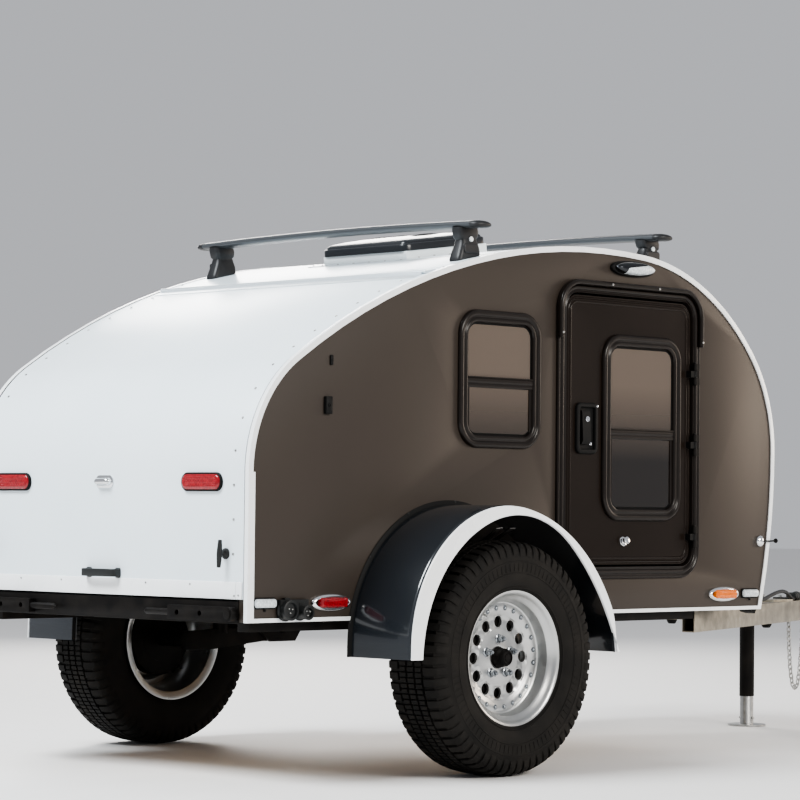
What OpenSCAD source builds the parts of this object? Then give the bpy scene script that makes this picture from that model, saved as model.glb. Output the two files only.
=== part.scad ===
// Teardrop trailer on its wheels and tongue jack.
// X runs forward to the coupler, Y to the left, Z up, from the floor midway along the whole length.

/* [Body] */
// Length of the body along its bottom edge
body_len = 2410; // [2380:10:2900]
// Width over the side walls
body_w = 1292; // [1180:4:1560]
// Height of the side walls' bottom edge
body_z = 475; // [460:5:520]
// Thickness of a side wall
wall_t = 40; // [32:1:50]
// Thickness of the aluminium skins
skin_t = 5; // [4:0.5:6]
// Thickness of the panels under the skins
core_t = 30; // [20:1:40]
// Width of the wall edge left proud beside the skins
edge_w = 12; // [8:1:16]
// Thickness of the white edge trim
trim_t = 4; // [2:0.5:5]
// Distance from the body's rear face to the hatch hinge
hatch_x = 752; // [720:4:860]
// Height of the cabin floor's underside above the walls' bottom edge
floor_rise = 21; // [16:1:30]
// Thickness of the cabin floor
floor_t = 30; // [20:1:40]

/* [Doors and windows] */
// Width over the door frame
door_w = 728; // [600:4:800]
// Height over the door frame
door_h = 970; // [820:5:990]
// Distance from the body's rear face to the door frame's rear edge
door_x = 1336; // [1310:2:1360]
// Height of the door frame's bottom edge above the walls' bottom edge
door_rise = 113; // [90:1:125]
// Thickness of a door
door_t = 38; // [30:1:44]
// Gap between a door and its frame
door_gap = 5; // [4:0.5:8]
// Opening angle of a door
door_open = 110; // [60:5:120]
// Width over the side window frame
window_w = 381; // [300:1:420]
// Height over the side window frame
window_h = 433; // [340:1:450]
// Width over the door window frame
sash_w = 403; // [280:1:430]
// Height over the door window frame
sash_h = 614; // [450:2:650]

/* [Running gear] */
// Outside diameter of a tyre
tyre_d = 718; // [680:2:740]
// Width of a tyre
tyre_w = 223; // [195:1:235]
// Diameter over the rim's outer lips
rim_d = 415.6; // [400:0.2:424]
// Distance from the body's side to a tyre's centre plane
wheel_out = 149; // [140:1:175]
// Distance from the body's rear face to the wheel centres
axle_x = 880; // [860:1:900]
// Distance from the body's side to the fender's outer edge
fender_out = 254; // [240:1:290]
// Lug circle diameter
lug_pcd = 114.3; // [108:0.1:120]

/* [Tongue] */
// Distance from the body's front edge to the coupler ball centre
tongue_len = 1270; // [1240:10:1500]
// Height of a tongue tube
tongue_h = 76; // [60:1:90]
// Width of a tongue tube
tongue_w = 50; // [40:1:60]
// Angle of a tongue tube to the centre line
tongue_angle = 21.5; // [20:0.5:22]
// Coupler ball diameter
ball_d = 50.8; // [47.6:0.1:60.4]

/* [Roof gear] */
// How far a roof bar reaches past the body's side
bar_over = 22; // [5:1:60]
// Width of a roof bar along the trailer
bar_w = 80; // [50:1:90]
// Thickness of a roof bar
bar_t = 24; // [18:1:30]
// Width of the roof vent's lid
vent_w = 389; // [360:1:400]

/* [Hidden] */

half_w = body_w / 2;
scale_k = body_len / 2410;
facet = 2.5;
eps = 0.3;
$fn = 48;

// Side outline as straights [length, 0] and clockwise arcs [radius, sweep], from the rear bottom corner
body_walk = [for (s = [[437.3, 0], [414, 56.4], [2465, 31.6], [2670, 6.7], [860, 44.9], [525, 40.8],
                       [2128, 12.7], [78, 0]]) [s[0] * scale_k, s[1]]];
end_lean = 13.1;
// Fender outline and the inner edge of its white lip, from the rear bottom corner
fender_walk = [[46, 0], [420, 100], [568, 52.5], [190, 19.4], [84, 0]];
lip_walk = [[16, 0], [443, 66.4], [361.5, 61.8], [813, 21.8], [104, 0]];

// Points along a walk, moved to its right by an inset
function walk(segs, x, z, h, inset = 0, i = 0) =
    i == len(segs) ? [[x, z]] :
    segs[i][1] == 0 ?
        concat([[x, z]], walk(segs, x + segs[i][0] * cos(h), z + segs[i][0] * sin(h), h, inset, i + 1)) :
    let (r = segs[i][0] - inset, a = segs[i][1], cx = x + r * sin(h), cz = z - r * cos(h),
         n = ceil(a / facet))
        concat([for (k = [0:n - 1]) [cx - r * sin(h - a * k / n), cz + r * cos(h - a * k / n)]],
               walk(segs, cx - r * sin(h - a), cz + r * cos(h - a), h - a, inset, i + 1));
function profile(inset) =
    let (p = walk(body_walk, inset, body_z, 90, inset), q = p[len(p) - 1],
         e = (q[1] - body_z) / cos(end_lean))
        concat([for (k = [0:len(p) - 2]) p[k]], [[q[0] - e * sin(end_lean), body_z]]);
function reversed(p) = [for (k = [len(p) - 1:-1:0]) p[k]];
function band(a, b) = concat(profile(a), reversed(profile(b)));
function fender_path(inset) = walk(fender_walk, axle_x - 462 + inset, body_z - 109, 88.9, inset);
// Height of the outline above a place along the body, found between its points
function top_of(p, x, i = 0) =
    (p[i][0] <= x && p[i + 1][0] >= x && p[i][1] > body_z + 500) ?
        p[i][1] + (p[i + 1][1] - p[i][1]) * (x - p[i][0]) / (p[i + 1][0] - p[i][0]) :
        top_of(p, x, i + 1);
// Rounded rectangle about a centre
function rrect(cx, cz, w, h, r, n = 8) =
    [for (q = [0:3], k = [0:n]) let (a = q * 90 + k * 90 / n, sx = (q == 0 || q == 3) ? 1 : -1,
        sz = q < 2 ? 1 : -1) [cx + sx * (w / 2 - r) + r * cos(a), cz + sz * (h / 2 - r) + r * sin(a)]];

outline = profile(0);
roof_x = 2045 * scale_k;
hinge_z = top_of(outline, hatch_x);
hatch_gap = 5;
beam_top = body_z + 62;
floor_z = body_z + floor_rise;
rail = 50;
rail_z = floor_z - rail;
cross_front = body_len - 360;
cabin_half = half_w - wall_t;
skin_half = half_w - edge_w;
door_cx = door_x + door_w / 2;
door_cz = body_z + door_rise + door_h / 2;
flange = 40;
leaf_w = door_w - 2 * (flange + door_gap);
leaf_h = door_h - 2 * (flange + door_gap);
door_r = 95;
leaf_r = door_r - flange;
hinge_x = door_x + door_w - flange - door_gap / 2;
hinge_y = half_w + 20;
hinge_r = 8;
pin_r = 4;
hinge_rises = [250, 560, 800];
sash_cx = door_cx + leaf_w / 2 - 56.5 - sash_w / 2;
latch_room = sash_cx - sash_w / 2 - door_x - flange - door_gap;
latch_w = min(100, latch_room - 10);
latch_x = door_x + flange + door_gap + 0.56 * latch_room;
sash_cz = body_z + 610;
window_cx = 1066;
window_cz = body_z + 745;
window_r = 82;
frame_w = 40;
wheel_z = tyre_d / 2;
half_track = half_w + wheel_out;
fender_y = half_w + fender_out;
spindle_r = 20;
running = 0.05;
lip_out = 95;
rim_w = 204;
disc_out = 36;
coupler_x = body_len + tongue_len;
ball_z = body_z - 20;
tongue_apex = body_len + 1232;
jack_x = body_len + 765;
stab_z = body_z + 24;
stab_pivot = cabin_half - 14;
stab_len = 264;
stab_pin_r = 8;
bar_x = [977, 1873];
bar_len = body_w + 2 * bar_over;
bar_z = [top_of(outline, bar_x[0]) + 102.79, top_of(outline, bar_x[1]) + 81.85];
bar_arch = 11;
vent_x = 1100;
vent_tilt = 8;
vent_z = top_of(outline, vent_x) + 27.82;
rear_reach = 34;
coupler_tip = coupler_x + 52;
mid_x = (coupler_tip - rear_reach) / 2;

module at_rear() {
    translate([-mid_x, 0, 0]) children();
}
// Extrudes an outline drawn in X and Z between two places across the trailer
module slab(y0, y1) {
    translate([0, y1, 0]) rotate([90, 0, 0]) linear_extrude(height = y1 - y0) children();
}
module left_side() {
    mirror([0, 1, 0]) children();
}
module both_sides() {
    children();
    mirror([0, 1, 0]) children();
}
module box(a, b) {
    translate(a) cube(b - a);
}
// Cylinder along Y between two places
module rod_y(x, z, y0, y1, r) {
    translate([x, y1, z]) rotate([90, 0, 0]) cylinder(h = y1 - y0, r = r);
}
// Round bar between two points
module rod(a, b, r) {
    v = b - a;
    l = norm(v);
    translate(a) rotate([0, acos(v[2] / l), atan2(v[1], v[0])]) cylinder(h = l, r = r);
}

// ---- Frame ----
module frame_rails() {
    cross_x = [420, 760, 1440, cross_front];
    at_rear() color("#17171a") union() {
        both_sides() box([46, cabin_half - rail, rail_z], [cross_front + rail, cabin_half, floor_z]);
        for (x = cross_x)
            box([x, rail - cabin_half, rail_z], [x + rail, cabin_half - rail, floor_z]);
        box([3, -cabin_half, body_z - 3], [46, cabin_half, beam_top]);
        both_sides() translate([3, -stab_pivot, stab_z]) rotate([0, -90, 0]) union() {
            cylinder(h = 34, r = stab_pin_r);
            translate([0, 0, 31.3]) cylinder(h = 3, r = 14);
        }
    }
}
module tongue_tube() {
    rear = cross_front + rail - 30;
    length = (coupler_x - 110 - rear) / cos(tongue_angle);
    edge_y = (tongue_apex - rear) * tan(tongue_angle);
    translate([rear, -edge_y, body_z - tongue_h]) rotate([0, 0, tongue_angle])
        difference() {
            cube([length, tongue_w, tongue_h]);
            translate([-1, 4, 4]) cube([length + 2, tongue_w - 8, tongue_h - 8]);
        }
}
module tongue_frame() {
    plate_half = (tongue_apex - jack_x) * tan(tongue_angle) - 12;
    sill_half = (tongue_apex - body_len) * tan(tongue_angle) - 6;
    at_rear() color("#9c927f") difference() {
        union() {
            both_sides() intersection() {
                tongue_tube();
                box([cross_front + rail, -900, 0], [coupler_x, -0.02, 2000]);
            }
            box([jack_x - 60, -plate_half, body_z], [jack_x + 60, plate_half, body_z + 8]);
            box([body_len - 90, -sill_half, body_z], [body_len - 40, sill_half, floor_z]);
        }
        translate([jack_x, 0, 0]) cylinder(h = 3000, r = 28.5);
        for (x = [-42, 42], y = [-42, 42])
            translate([jack_x + x, y, body_z - 1]) cylinder(h = 20, r = 5.5);
    }
}
module coupler() {
    nose = 52;
    at_rear() color("#1c1c1e") difference() {
        union() {
            translate([coupler_x, 0, ball_z - 6]) cylinder(h = 50, r = 46);
            translate([coupler_x, 0, ball_z + 44]) sphere(r = 30);
            box([coupler_x - 210, -38, body_z], [coupler_x, 38, body_z + 26]);
            box([coupler_x - 260, -64, body_z], [coupler_x - 90, 64, body_z + 8]);
            box([coupler_x - 8, -10, ball_z + 40], [coupler_x + nose, 10, ball_z + 60]);
            both_sides() box([coupler_x - 109, 30, body_z - 40], [coupler_x - 69, 40, body_z]);
        }
        translate([coupler_x, 0, ball_z]) sphere(d = ball_d + 0.8);
        translate([coupler_x, 0, ball_z - 60]) cylinder(h = 60, d = ball_d + 0.8);
        box([coupler_x - 60, -24, ball_z - 60], [coupler_x, 24, ball_z - 2]);
        both_sides() rod_y(coupler_x - 89, body_z - 22, 20, 60, 8);
    }
}
module jack_tube() {
    at_rear() color("#161618") difference() {
        union() {
            translate([jack_x, 0, 112]) cylinder(h = body_z + 360 - 112, r = 28);
            translate([jack_x, 0, body_z + 8]) cylinder(h = 8, r = 64);
            translate([jack_x, 0, body_z + 360]) cylinder(h = 38, r = 36);
            translate([jack_x, 0, body_z + 398]) cylinder(h = 30, r = 9);
            box([jack_x - 175, -7, body_z + 414], [jack_x, 7, body_z + 422]);
            translate([jack_x - 165, 0, body_z + 422]) cylinder(h = 70, r = 11);
        }
        translate([jack_x, 0, 100]) cylinder(h = body_z + 150, r = 25.5);
        for (x = [-42, 42], y = [-42, 42])
            translate([jack_x + x, y, body_z]) cylinder(h = 30, r = 5.5);
    }
}
module jack_leg() {
    at_rear() color("#8f9296") union() {
        translate([jack_x, 0, 6]) cylinder(h = body_z + 60, r = 25.45);
        translate([jack_x, 0, 0]) cylinder(h = 6, r = 72);
        rod_y(jack_x, 30, -32, 32, 6);
    }
}
// Closed tube with eight sides along a route
module tube(route, r) {
    n = len(route);
    function heading(k) = let (d = route[min(n - 1, k + 1)] - route[max(0, k - 1)]) d / norm(d);
    function across(k) = let (c = cross([0, 0, 1], heading(k))) c / norm(c);
    rings = [for (k = [0:n - 1], q = [0:7]) let (u = across(k), v = cross(heading(k), u))
        route[k] + r * (cos(q * 45) * u + sin(q * 45) * v)];
    sides = [for (k = [0:n - 2], q = [0:7])
        let (a = k * 8 + q, b = k * 8 + (q + 1) % 8) [a, a + 8, b + 8, b]];
    polyhedron(rings, concat([[for (q = [0:7]) q]], [[for (q = [7:-1:0]) (n - 1) * 8 + q]], sides));
}
module tow_cable() {
    r = 7;
    // Distance ahead of the body and height over the tube's top
    humps = [[8, 0], [120, 0], [300, 0], [460, 1], [540, 6], [620, 16], [700, 26], [770, 31], [820, 29],
             [860, 21], [892, 9], [915, 1], [935, 0]];
    function middle_y(x) = (x - tongue_apex) * tan(tongue_angle) + tongue_w / 2 / cos(tongue_angle);
    function on_tube(h) = [body_len + h[0], middle_y(body_len + h[0]), body_z + r + eps + h[1]];
    plug = on_tube([935, 10]);
    at_rear() color("#111113") union() {
        tube([for (h = humps) on_tube(h)], r);
        rod(plug, plug + 48 * [cos(tongue_angle), sin(tongue_angle), 0], 17);
    }
}
module suspension() {
    y0 = cabin_half - rail;
    pivot_x = axle_x + 390;
    pivot_z = rail_z - 62;
    color("#141416") union() {
        difference() {
            slab(-cabin_half, -y0) polygon([[pivot_x - 190, rail_z], [pivot_x - 150, rail_z - 34],
                [pivot_x - 60, rail_z - 100], [pivot_x + 60, rail_z - 100], [pivot_x + 130, rail_z]]);
            slab(-cabin_half + 8, -y0 - 8) polygon([[pivot_x - 200, rail_z - 9],
                [pivot_x - 150, rail_z - 140], [pivot_x + 90, rail_z - 140], [pivot_x + 130, rail_z - 9]]);
        }
        rod_y(pivot_x, pivot_z, -cabin_half - 14, -y0 + 6, 11);
        slab(-cabin_half + 12, -y0 - 12) polygon([[pivot_x + 26, pivot_z - 26], [pivot_x + 26, pivot_z + 20],
            [axle_x + 60, wheel_z + 34], [axle_x - 44, wheel_z + 30], [axle_x - 44, wheel_z - 32],
            [axle_x + 60, wheel_z - 34]]);
        translate([axle_x + 120, -(cabin_half + y0) / 2, wheel_z + 20])
            cylinder(h = rail_z - wheel_z - 20, r = 24);
        rod_y(axle_x, wheel_z, -half_track + 46, -y0 - 12, 26);
        rod_y(axle_x, wheel_z, -half_track - 52, -y0 - 12, spindle_r);
    }
}
module suspension_right() {
    at_rear() suspension();
}
module suspension_left() {
    at_rear() left_side() suspension();
}

// ---- Body ----
module floor() {
    at_rear() color("#b79a6b") intersection() {
        box([46, -cabin_half, floor_z], [body_len + 200, cabin_half, floor_z + floor_t]);
        slab(-half_w, half_w) polygon(profile(skin_t + core_t));
    }
}
module side_wall() {
    color("#5a4f45") difference() {
        slab(-half_w, -cabin_half) polygon(outline);
        slab(-skin_half, -cabin_half + 1) polygon(band(-2, skin_t));
        slab(-half_w - 1, -cabin_half + 1)
            polygon(rrect(window_cx, window_cz, window_w - 50, window_h - 50, window_r - 25));
        slab(-half_w - 1, -cabin_half + 1)
            polygon(rrect(door_cx, door_cz, door_w - 50, door_h - 50, door_r - 25));
    }
}
module side_wall_right() {
    at_rear() side_wall();
}
module side_wall_left() {
    at_rear() left_side() side_wall();
}
// Skin over the walls' edges with the panel between the walls, in a stretch of the outline
module shell(a, b, skin_y, core_y) {
    intersection() {
        union() {
            slab(-skin_y, skin_y) polygon(band(0, skin_t));
            slab(-core_y, core_y) polygon(band(skin_t, skin_t + core_t));
        }
        box([a[0], -half_w, a[1]], [b[0], half_w, b[1]]);
    }
}
module roof() {
    hole = vent_w - 40;
    at_rear() color("#e9edef") difference() {
        shell([hatch_x + hatch_gap, body_z + 700], [roof_x, body_z + 2000], skin_half, cabin_half);
        box([vent_x + 20, -hole / 2, body_z + 700], [vent_x + 20 + hole, hole / 2, body_z + 2000]);
    }
}
module front_wall() {
    at_rear() color("#e9edef")
        shell([roof_x, body_z], [body_len + 300, body_z + 2000], skin_half, cabin_half);
}
module bulkhead() {
    at_rear() color("#c9b188") difference() {
        box([hatch_x - 20, -cabin_half, floor_z + floor_t], [hatch_x, cabin_half, body_z + 2000]);
        difference() {
            box([0, -half_w, body_z], [body_len, half_w, body_z + 2001]);
            slab(-half_w, half_w) polygon(profile(skin_t + core_t + hatch_gap));
        }
    }
}
module galley_counter() {
    at_rear() color("#c9b188") union() {
        box([90, -cabin_half, body_z + 385], [hatch_x - 20, cabin_half, body_z + 405]);
        box([110, -10, floor_z + floor_t], [hatch_x - 20, 10, body_z + 385]);
    }
}
module edge_trims() {
    at_rear() color("#eef0f0") both_sides() difference() {
        union() {
            slab(-half_w - trim_t, -half_w) polygon(band(-2, 16));
            slab(-half_w, -skin_half) polygon(band(-2, 0));
            box([0, -half_w - trim_t, body_z], [body_len, -half_w, body_z + 12]);
            box([-2, -half_w - trim_t, body_z], [24, -half_w, body_z + 437]);
        }
        slab(-half_w - trim_t - 1, -half_w + eps) polygon(fender_path(-eps));
        slab(-half_w - 5, half_w) polygon([[body_len - 1, body_z - 1], [body_len + 300, body_z - 1],
            [body_len + 300, body_z + 300], [body_len + 3 + 300 * tan(end_lean), body_z + 300],
            [body_len + 3, body_z - 1]]);
    }
}
module door_frame() {
    color("#2b2521") union() {
        difference() {
            slab(-half_w - 10, -half_w) polygon(rrect(door_cx, door_cz, door_w, door_h, door_r));
            slab(-half_w - 11, -half_w + 1)
                polygon(rrect(door_cx, door_cz, door_w - 2 * flange, door_h - 2 * flange, door_r - flange));
        }
        difference() {
            slab(-half_w, -cabin_half)
                polygon(rrect(door_cx, door_cz, door_w - 50, door_h - 50, door_r - 25));
            slab(-half_w - 1, -cabin_half + 1)
                polygon(rrect(door_cx, door_cz, door_w - 2 * flange, door_h - 2 * flange, door_r - flange));
        }
        intersection() {
            difference() {
                slab(-half_w - 26, -half_w - 10) polygon(rrect(door_cx, door_cz, door_w, door_h, door_r));
                slab(-half_w - 30, -half_w - 9)
                    polygon(rrect(door_cx, door_cz, door_w - 32, door_h - 32, door_r - 16));
            }
            box([door_x - 1, -half_w - 40, door_cz + door_h / 2 - 190],
                [door_x + door_w + 1, 0, door_cz + door_h / 2 + 1]);
        }
        for (rise = hinge_rises) translate([hinge_x, -hinge_y, body_z + rise]) {
            translate([0, 0, -36]) cylinder(h = 24, r = hinge_r);
            translate([0, 0, -36]) cylinder(h = 72, r = pin_r);
            translate([0, 0, 12]) cylinder(h = 24, r = hinge_r);
            for (z = [-36, 12]) box([2.5, -3, z], [22, 10.5, z + 24]);
        }
    }
}
module door_frames() {
    at_rear() both_sides() door_frame();
}
module ring_frame(cx, cz, w, h, r, bar_dz, y) {
    difference() {
        slab(-y - 12, -y) polygon(rrect(cx, cz, w, h, r));
        slab(-y - 13, -y + 1) polygon(rrect(cx, cz, w - 2 * frame_w, h - 2 * frame_w, r - frame_w));
    }
    box([cx - w / 2 + frame_w - 1, -y - 9, cz + bar_dz - 16],
        [cx + w / 2 - frame_w + 1, -y, cz + bar_dz + 16]);
}
module window_frames() {
    at_rear() both_sides() color("#2b2521")
        ring_frame(window_cx, window_cz, window_w, window_h, window_r, -10, half_w);
}
module window_glass() {
    at_rear() both_sides() color("#40362e", 0.6) slab(-half_w, -half_w + 5)
        polygon(rrect(window_cx, window_cz, window_w - 52, window_h - 52, window_r - 26));
}
module hatch_hinge() {
    at_rear() color("#d3d8da") difference() {
        union() {
            rod_y(hatch_x, hinge_z + 6, -skin_half + 10, skin_half - 10, 5);
            slab(-skin_half + 10, skin_half - 10)
                polygon([[hatch_x + 2, hinge_z + 2], [hatch_x, hinge_z + 10],
                    [hatch_x + 45, top_of(outline, hatch_x + 45) + 2], [hatch_x + 45, hinge_z - 20],
                    [hatch_x + hatch_gap, hinge_z - 20]]);
        }
        slab(-half_w, half_w) polygon(outline);
    }
}

// ---- Fenders, lamps and fittings ----
module fender() {
    t = 4;
    color("#1d2b36") slab(-fender_y, -half_w)
        polygon(concat(fender_path(0), reversed(fender_path(t))));
}
module fender_right() {
    at_rear() fender();
}
module fender_left() {
    at_rear() left_side() fender();
}
module fender_edges() {
    at_rear() both_sides() color("#eef0f0") difference() {
        slab(-fender_y - 4, -fender_y) polygon(fender_path(0));
        slab(-fender_y - 5, -fender_y + 1)
            polygon(concat(walk(lip_walk, axle_x - 410, body_z - 109, 86.6), [[axle_x + 478, body_z - 120],
                [axle_x - 410, body_z - 120]]));
    }
}
module oval_lamp(x, z, w, h, d) {
    slab(-half_w - d, -half_w) polygon(rrect(x, z, w, h, h / 2 - 0.5));
}
module side_lamps() {
    at_rear() both_sides() color("#d9dcdd") union() {
        oval_lamp(334, body_z + 54, 161, 52, 22);
        oval_lamp(2204, body_z + 56, 161, 52, 22);
        oval_lamp(67, body_z + 56, 84, 27, 16);
        oval_lamp(2350, body_z + 56, 88, 27, 16);
        oval_lamp(1706, body_z + 1137, 215, 52, 36);
    }
}
module power_inlets() {
    at_rear() color("#101214") union() {
        rod_y(146, body_z + 35, -half_w - 34, -half_w - trim_t - eps, 33);
        rod_y(205, body_z + 28, -half_w - 46, -half_w - trim_t - eps, 25);
        box([120, -half_w - 16, body_z + 13], [230, -half_w, body_z + 66]);
    }
}
module vent_base() {
    at_rear() color("#e7ebec") difference() {
        translate([vent_x, 0, vent_z]) rotate([0, -vent_tilt, 0]) difference() {
            union() {
                box([0, -vent_w / 2, -120], [vent_w, vent_w / 2, 0]);
                rod_y(vent_w + 8, 8, -152, 152, 3);
                both_sides() box([vent_w - 1, 146, -20], [vent_w + 14, 156, -1]);
                both_sides() box([vent_w + 4, 146, -2], [vent_w + 13, 156, 12]);
            }
            box([24, -vent_w / 2 + 24, -121], [vent_w - 24, vent_w / 2 - 24, 1]);
        }
        slab(-half_w, half_w) polygon(outline);
    }
}
module vent_lid() {
    at_rear() color("#15171a") translate([vent_x, 0, vent_z]) rotate([0, -vent_tilt, 0]) difference() {
        union() {
            slab(-vent_w / 2 - 6, vent_w / 2 + 6) polygon([[-6, eps], [-6, 26], [10, 34], [200, 48],
                [vent_w - 20, 38], [vent_w, 22], [vent_w, eps]]);
            both_sides() rod_y(vent_w + 8, 8, -144, -90, 7);
            both_sides() box([vent_w - 4, 90, 3], [vent_w + 8, 144, 13]);
        }
        rod_y(vent_w + 8, 8, -160, 160, 3 + running);
        slab(-vent_w / 2 + 1, vent_w / 2 - 1) polygon([[2, eps - 1], [2, 24], [14, 29], [200, 43],
            [vent_w - 24, 33], [vent_w - 6, 20], [vent_w - 6, eps - 1]]);
    }
}
module roof_bar(x, z) {
    n = 12;
    function arch(y, t) = [y, z + t - bar_arch * pow(2 * y / bar_len, 2)];
    bar_ys = [for (k = [0:n]) bar_len * (k / n - 0.5)];
    foot_z = top_of(outline, x - 50);
    translate([x - bar_w / 2, 0, 0]) rotate([90, 0, 90]) linear_extrude(height = bar_w)
        polygon(concat([for (y = bar_ys) arch(y, 0)], [for (y = reversed(bar_ys)) arch(y, bar_t)]));
    both_sides() difference() {
        slab(-half_w + 46, -half_w + 98) polygon([[x - 50, foot_z - 40], [x - 50, foot_z + 26],
            [x - 36, foot_z + 50], [x - 36, z + bar_t / 2 - bar_arch],
            [x + 36, z + bar_t / 2 - bar_arch], [x + 36, foot_z + 54], [x + 50, foot_z + 34],
            [x + 50, foot_z - 40]]);
        slab(-half_w, half_w) polygon(outline);
    }
}
module roof_bars() {
    at_rear() color("#26282b") union() {
        for (k = [0, 1]) roof_bar(bar_x[k], bar_z[k]);
    }
}

// ---- Wheels ----
module tyre() {
    r = wheel_z;
    w = tyre_w / 2;
    seat = rim_d / 2 - 16;
    color("#1b1b1c") translate([axle_x, -half_track, wheel_z]) rotate([90, 0, 0])
        rotate_extrude() polygon([[seat, 14 - rim_w + lip_out], [seat + 18, 12 - rim_w + lip_out],
            [seat + 42, -w + 2],
            [r - 74, -w], [r - 26, -w + 12], [r - 7, -w + 24], [r, -w + 42], [r, w - 42], [r - 7, w - 24],
            [r - 26, w - 12], [r - 74, w], [seat + 42, w - 2], [seat + 18, lip_out - 12],
            [seat, lip_out - 15]]);
}
module rim() {
    lip = rim_d / 2;
    seat = lip - 16;
    y1 = lip_out;
    y0 = lip_out - rim_w;
    face = disc_out;
    color("#c9cdd0") translate([axle_x, -half_track, wheel_z]) rotate([90, 0, 0]) difference() {
        rotate_extrude() polygon([[32, face - 8], [86, face - 8], [120, face - 12], [146, face],
            [seat - 20, face],
            [seat - 20, y1 - 22], [lip - 8, y1], [lip, y1], [lip, y1 - 5], [seat + 4, y1 - 9], [seat - 0.2, y1 - 14],
            [seat - 0.2, y0 + 13], [seat + 4, y0 + 9], [lip, y0 + 5], [lip, y0], [lip - 8, y0], [seat - 10, y0 + 8],
            [seat - 12, y0 + 20], [seat - 26, y0 + 50], [seat - 26, face - 10], [146, face - 10], [120, face - 22],
            [86, face - 18], [32, face - 18]]);
        for (k = [0:11]) rotate([0, 0, k * 30]) translate([109, 0, face - 40]) cylinder(h = 60, r = 17);
        for (k = [0:4]) rotate([0, 0, k * 72 + 18]) translate([lug_pcd / 2, 0, face - 40]) cylinder(h = 60, r = 7);
    }
}
module hub() {
    face = disc_out;
    color("#18191b") translate([axle_x, -half_track, wheel_z]) rotate([90, 0, 0]) difference() {
        union() {
            translate([0, 0, -44]) cylinder(h = face - 18 + 44, r = 78);
            translate([0, 0, face - 18]) cylinder(h = 34, r = 31.8);
            translate([0, 0, face + 16]) cylinder(h = 18, r = 27);
            for (k = [0:4]) rotate([0, 0, k * 72 + 18]) translate([lug_pcd / 2, 0, face - 20])
                cylinder(h = 36, r = 6.5);
        }
        translate([0, 0, -60]) cylinder(h = 60 + 54, r = spindle_r + running);
    }
}
module tyre_right() {
    at_rear() tyre();
}
module tyre_left() {
    at_rear() left_side() tyre();
}
module rim_right() {
    at_rear() rim();
}
module rim_left() {
    at_rear() left_side() rim();
}
module hub_right() {
    at_rear() hub();
}
module hub_left() {
    at_rear() left_side() hub();
}

// ---- Doors ----
module door() {
    y1 = half_w + 2;
    color("#3a322c") difference() {
        union() {
            slab(-y1, -y1 + door_t) polygon(rrect(door_cx, door_cz, leaf_w, leaf_h, leaf_r));
            slab(-y1 - 8, -y1) polygon(rrect(latch_x, body_z + 603, latch_w, 160, 14));
            slab(-y1 - 16, -y1) polygon(rrect(1672, body_z + 235, 22, 22, 10));
            for (rise = hinge_rises) translate([hinge_x, -hinge_y, body_z + rise - 11]) {
                cylinder(h = 22, r = hinge_r);
                box([-24, -5, 0], [-4, 18.5, 22]);
            }
        }
        for (rise = hinge_rises) translate([hinge_x, -hinge_y, body_z + rise - 12])
            cylinder(h = 24, r = pin_r + running);
        slab(-y1 - 20, -y1 + door_t + 1)
            polygon(rrect(sash_cx, sash_cz, sash_w - 50, sash_h - 50, window_r - 25));
    }
}
module door_sash() {
    color("#2b2521") ring_frame(sash_cx, sash_cz, sash_w, sash_h, window_r, -20, half_w + 2);
}
module door_glass() {
    color("#40362e", 0.6) slab(-half_w - 2, -half_w + 3)
        polygon(rrect(sash_cx, sash_cz, sash_w - 52, sash_h - 52, window_r - 26));
}
module door_right() {
    at_rear() door();
}
module door_left() {
    at_rear() left_side() door();
}
module door_sash_right() {
    at_rear() door_sash();
}
module door_sash_left() {
    at_rear() left_side() door_sash();
}
module door_glass_right() {
    at_rear() door_glass();
}
module door_glass_left() {
    at_rear() left_side() door_glass();
}

// ---- Hatch ----
module hatch_skin() {
    at_rear() color("#eef2f4") intersection() {
        slab(-skin_half + hatch_gap, skin_half - hatch_gap) polygon(band(0, skin_t - 1));
        box([-10, -half_w, beam_top + hatch_gap], [hatch_x, half_w, body_z + 2000]);
    }
}
module hatch_core() {
    at_rear() color("#d9dddf") intersection() {
        slab(-cabin_half + hatch_gap + 2, cabin_half - hatch_gap - 2)
            polygon(band(skin_t - 1, skin_t + core_t));
        box([-10, -half_w, beam_top + hatch_gap], [hatch_x, half_w, body_z + 2000]);
    }
}
module hatch_fittings() {
    y1 = skin_half - hatch_gap - 2;
    at_rear() color("#c8ccce") union() {
        box([-2.5, -y1, beam_top + hatch_gap], [0, y1, beam_top + 56]);
        box([-34, -78, beam_top + 60], [0, -60, beam_top + 82]);
        box([-34, 60, beam_top + 60], [0, 78, beam_top + 82]);
        box([-34, -78, beam_top + 60], [-22, 78, beam_top + 82]);
        translate([-14, 0, body_z + 409]) rotate([0, 90, 0]) linear_extrude(height = 14)
            polygon(rrect(0, 0, 38, 82, 18));
        both_sides() union() {
            translate([-20, -548, body_z + 199]) rotate([0, 90, 0]) cylinder(h = 20, r = 16);
            box([-30, -556, body_z + 160], [-18, -540, body_z + 238]);
        }
    }
}
module tail_lamps() {
    at_rear() both_sides() color("#a3121a") translate([-14, -448, body_z + 408]) rotate([0, 90, 0])
        linear_extrude(height = 14) polygon(rrect(0, 0, 56, 178, 27));
}
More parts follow.
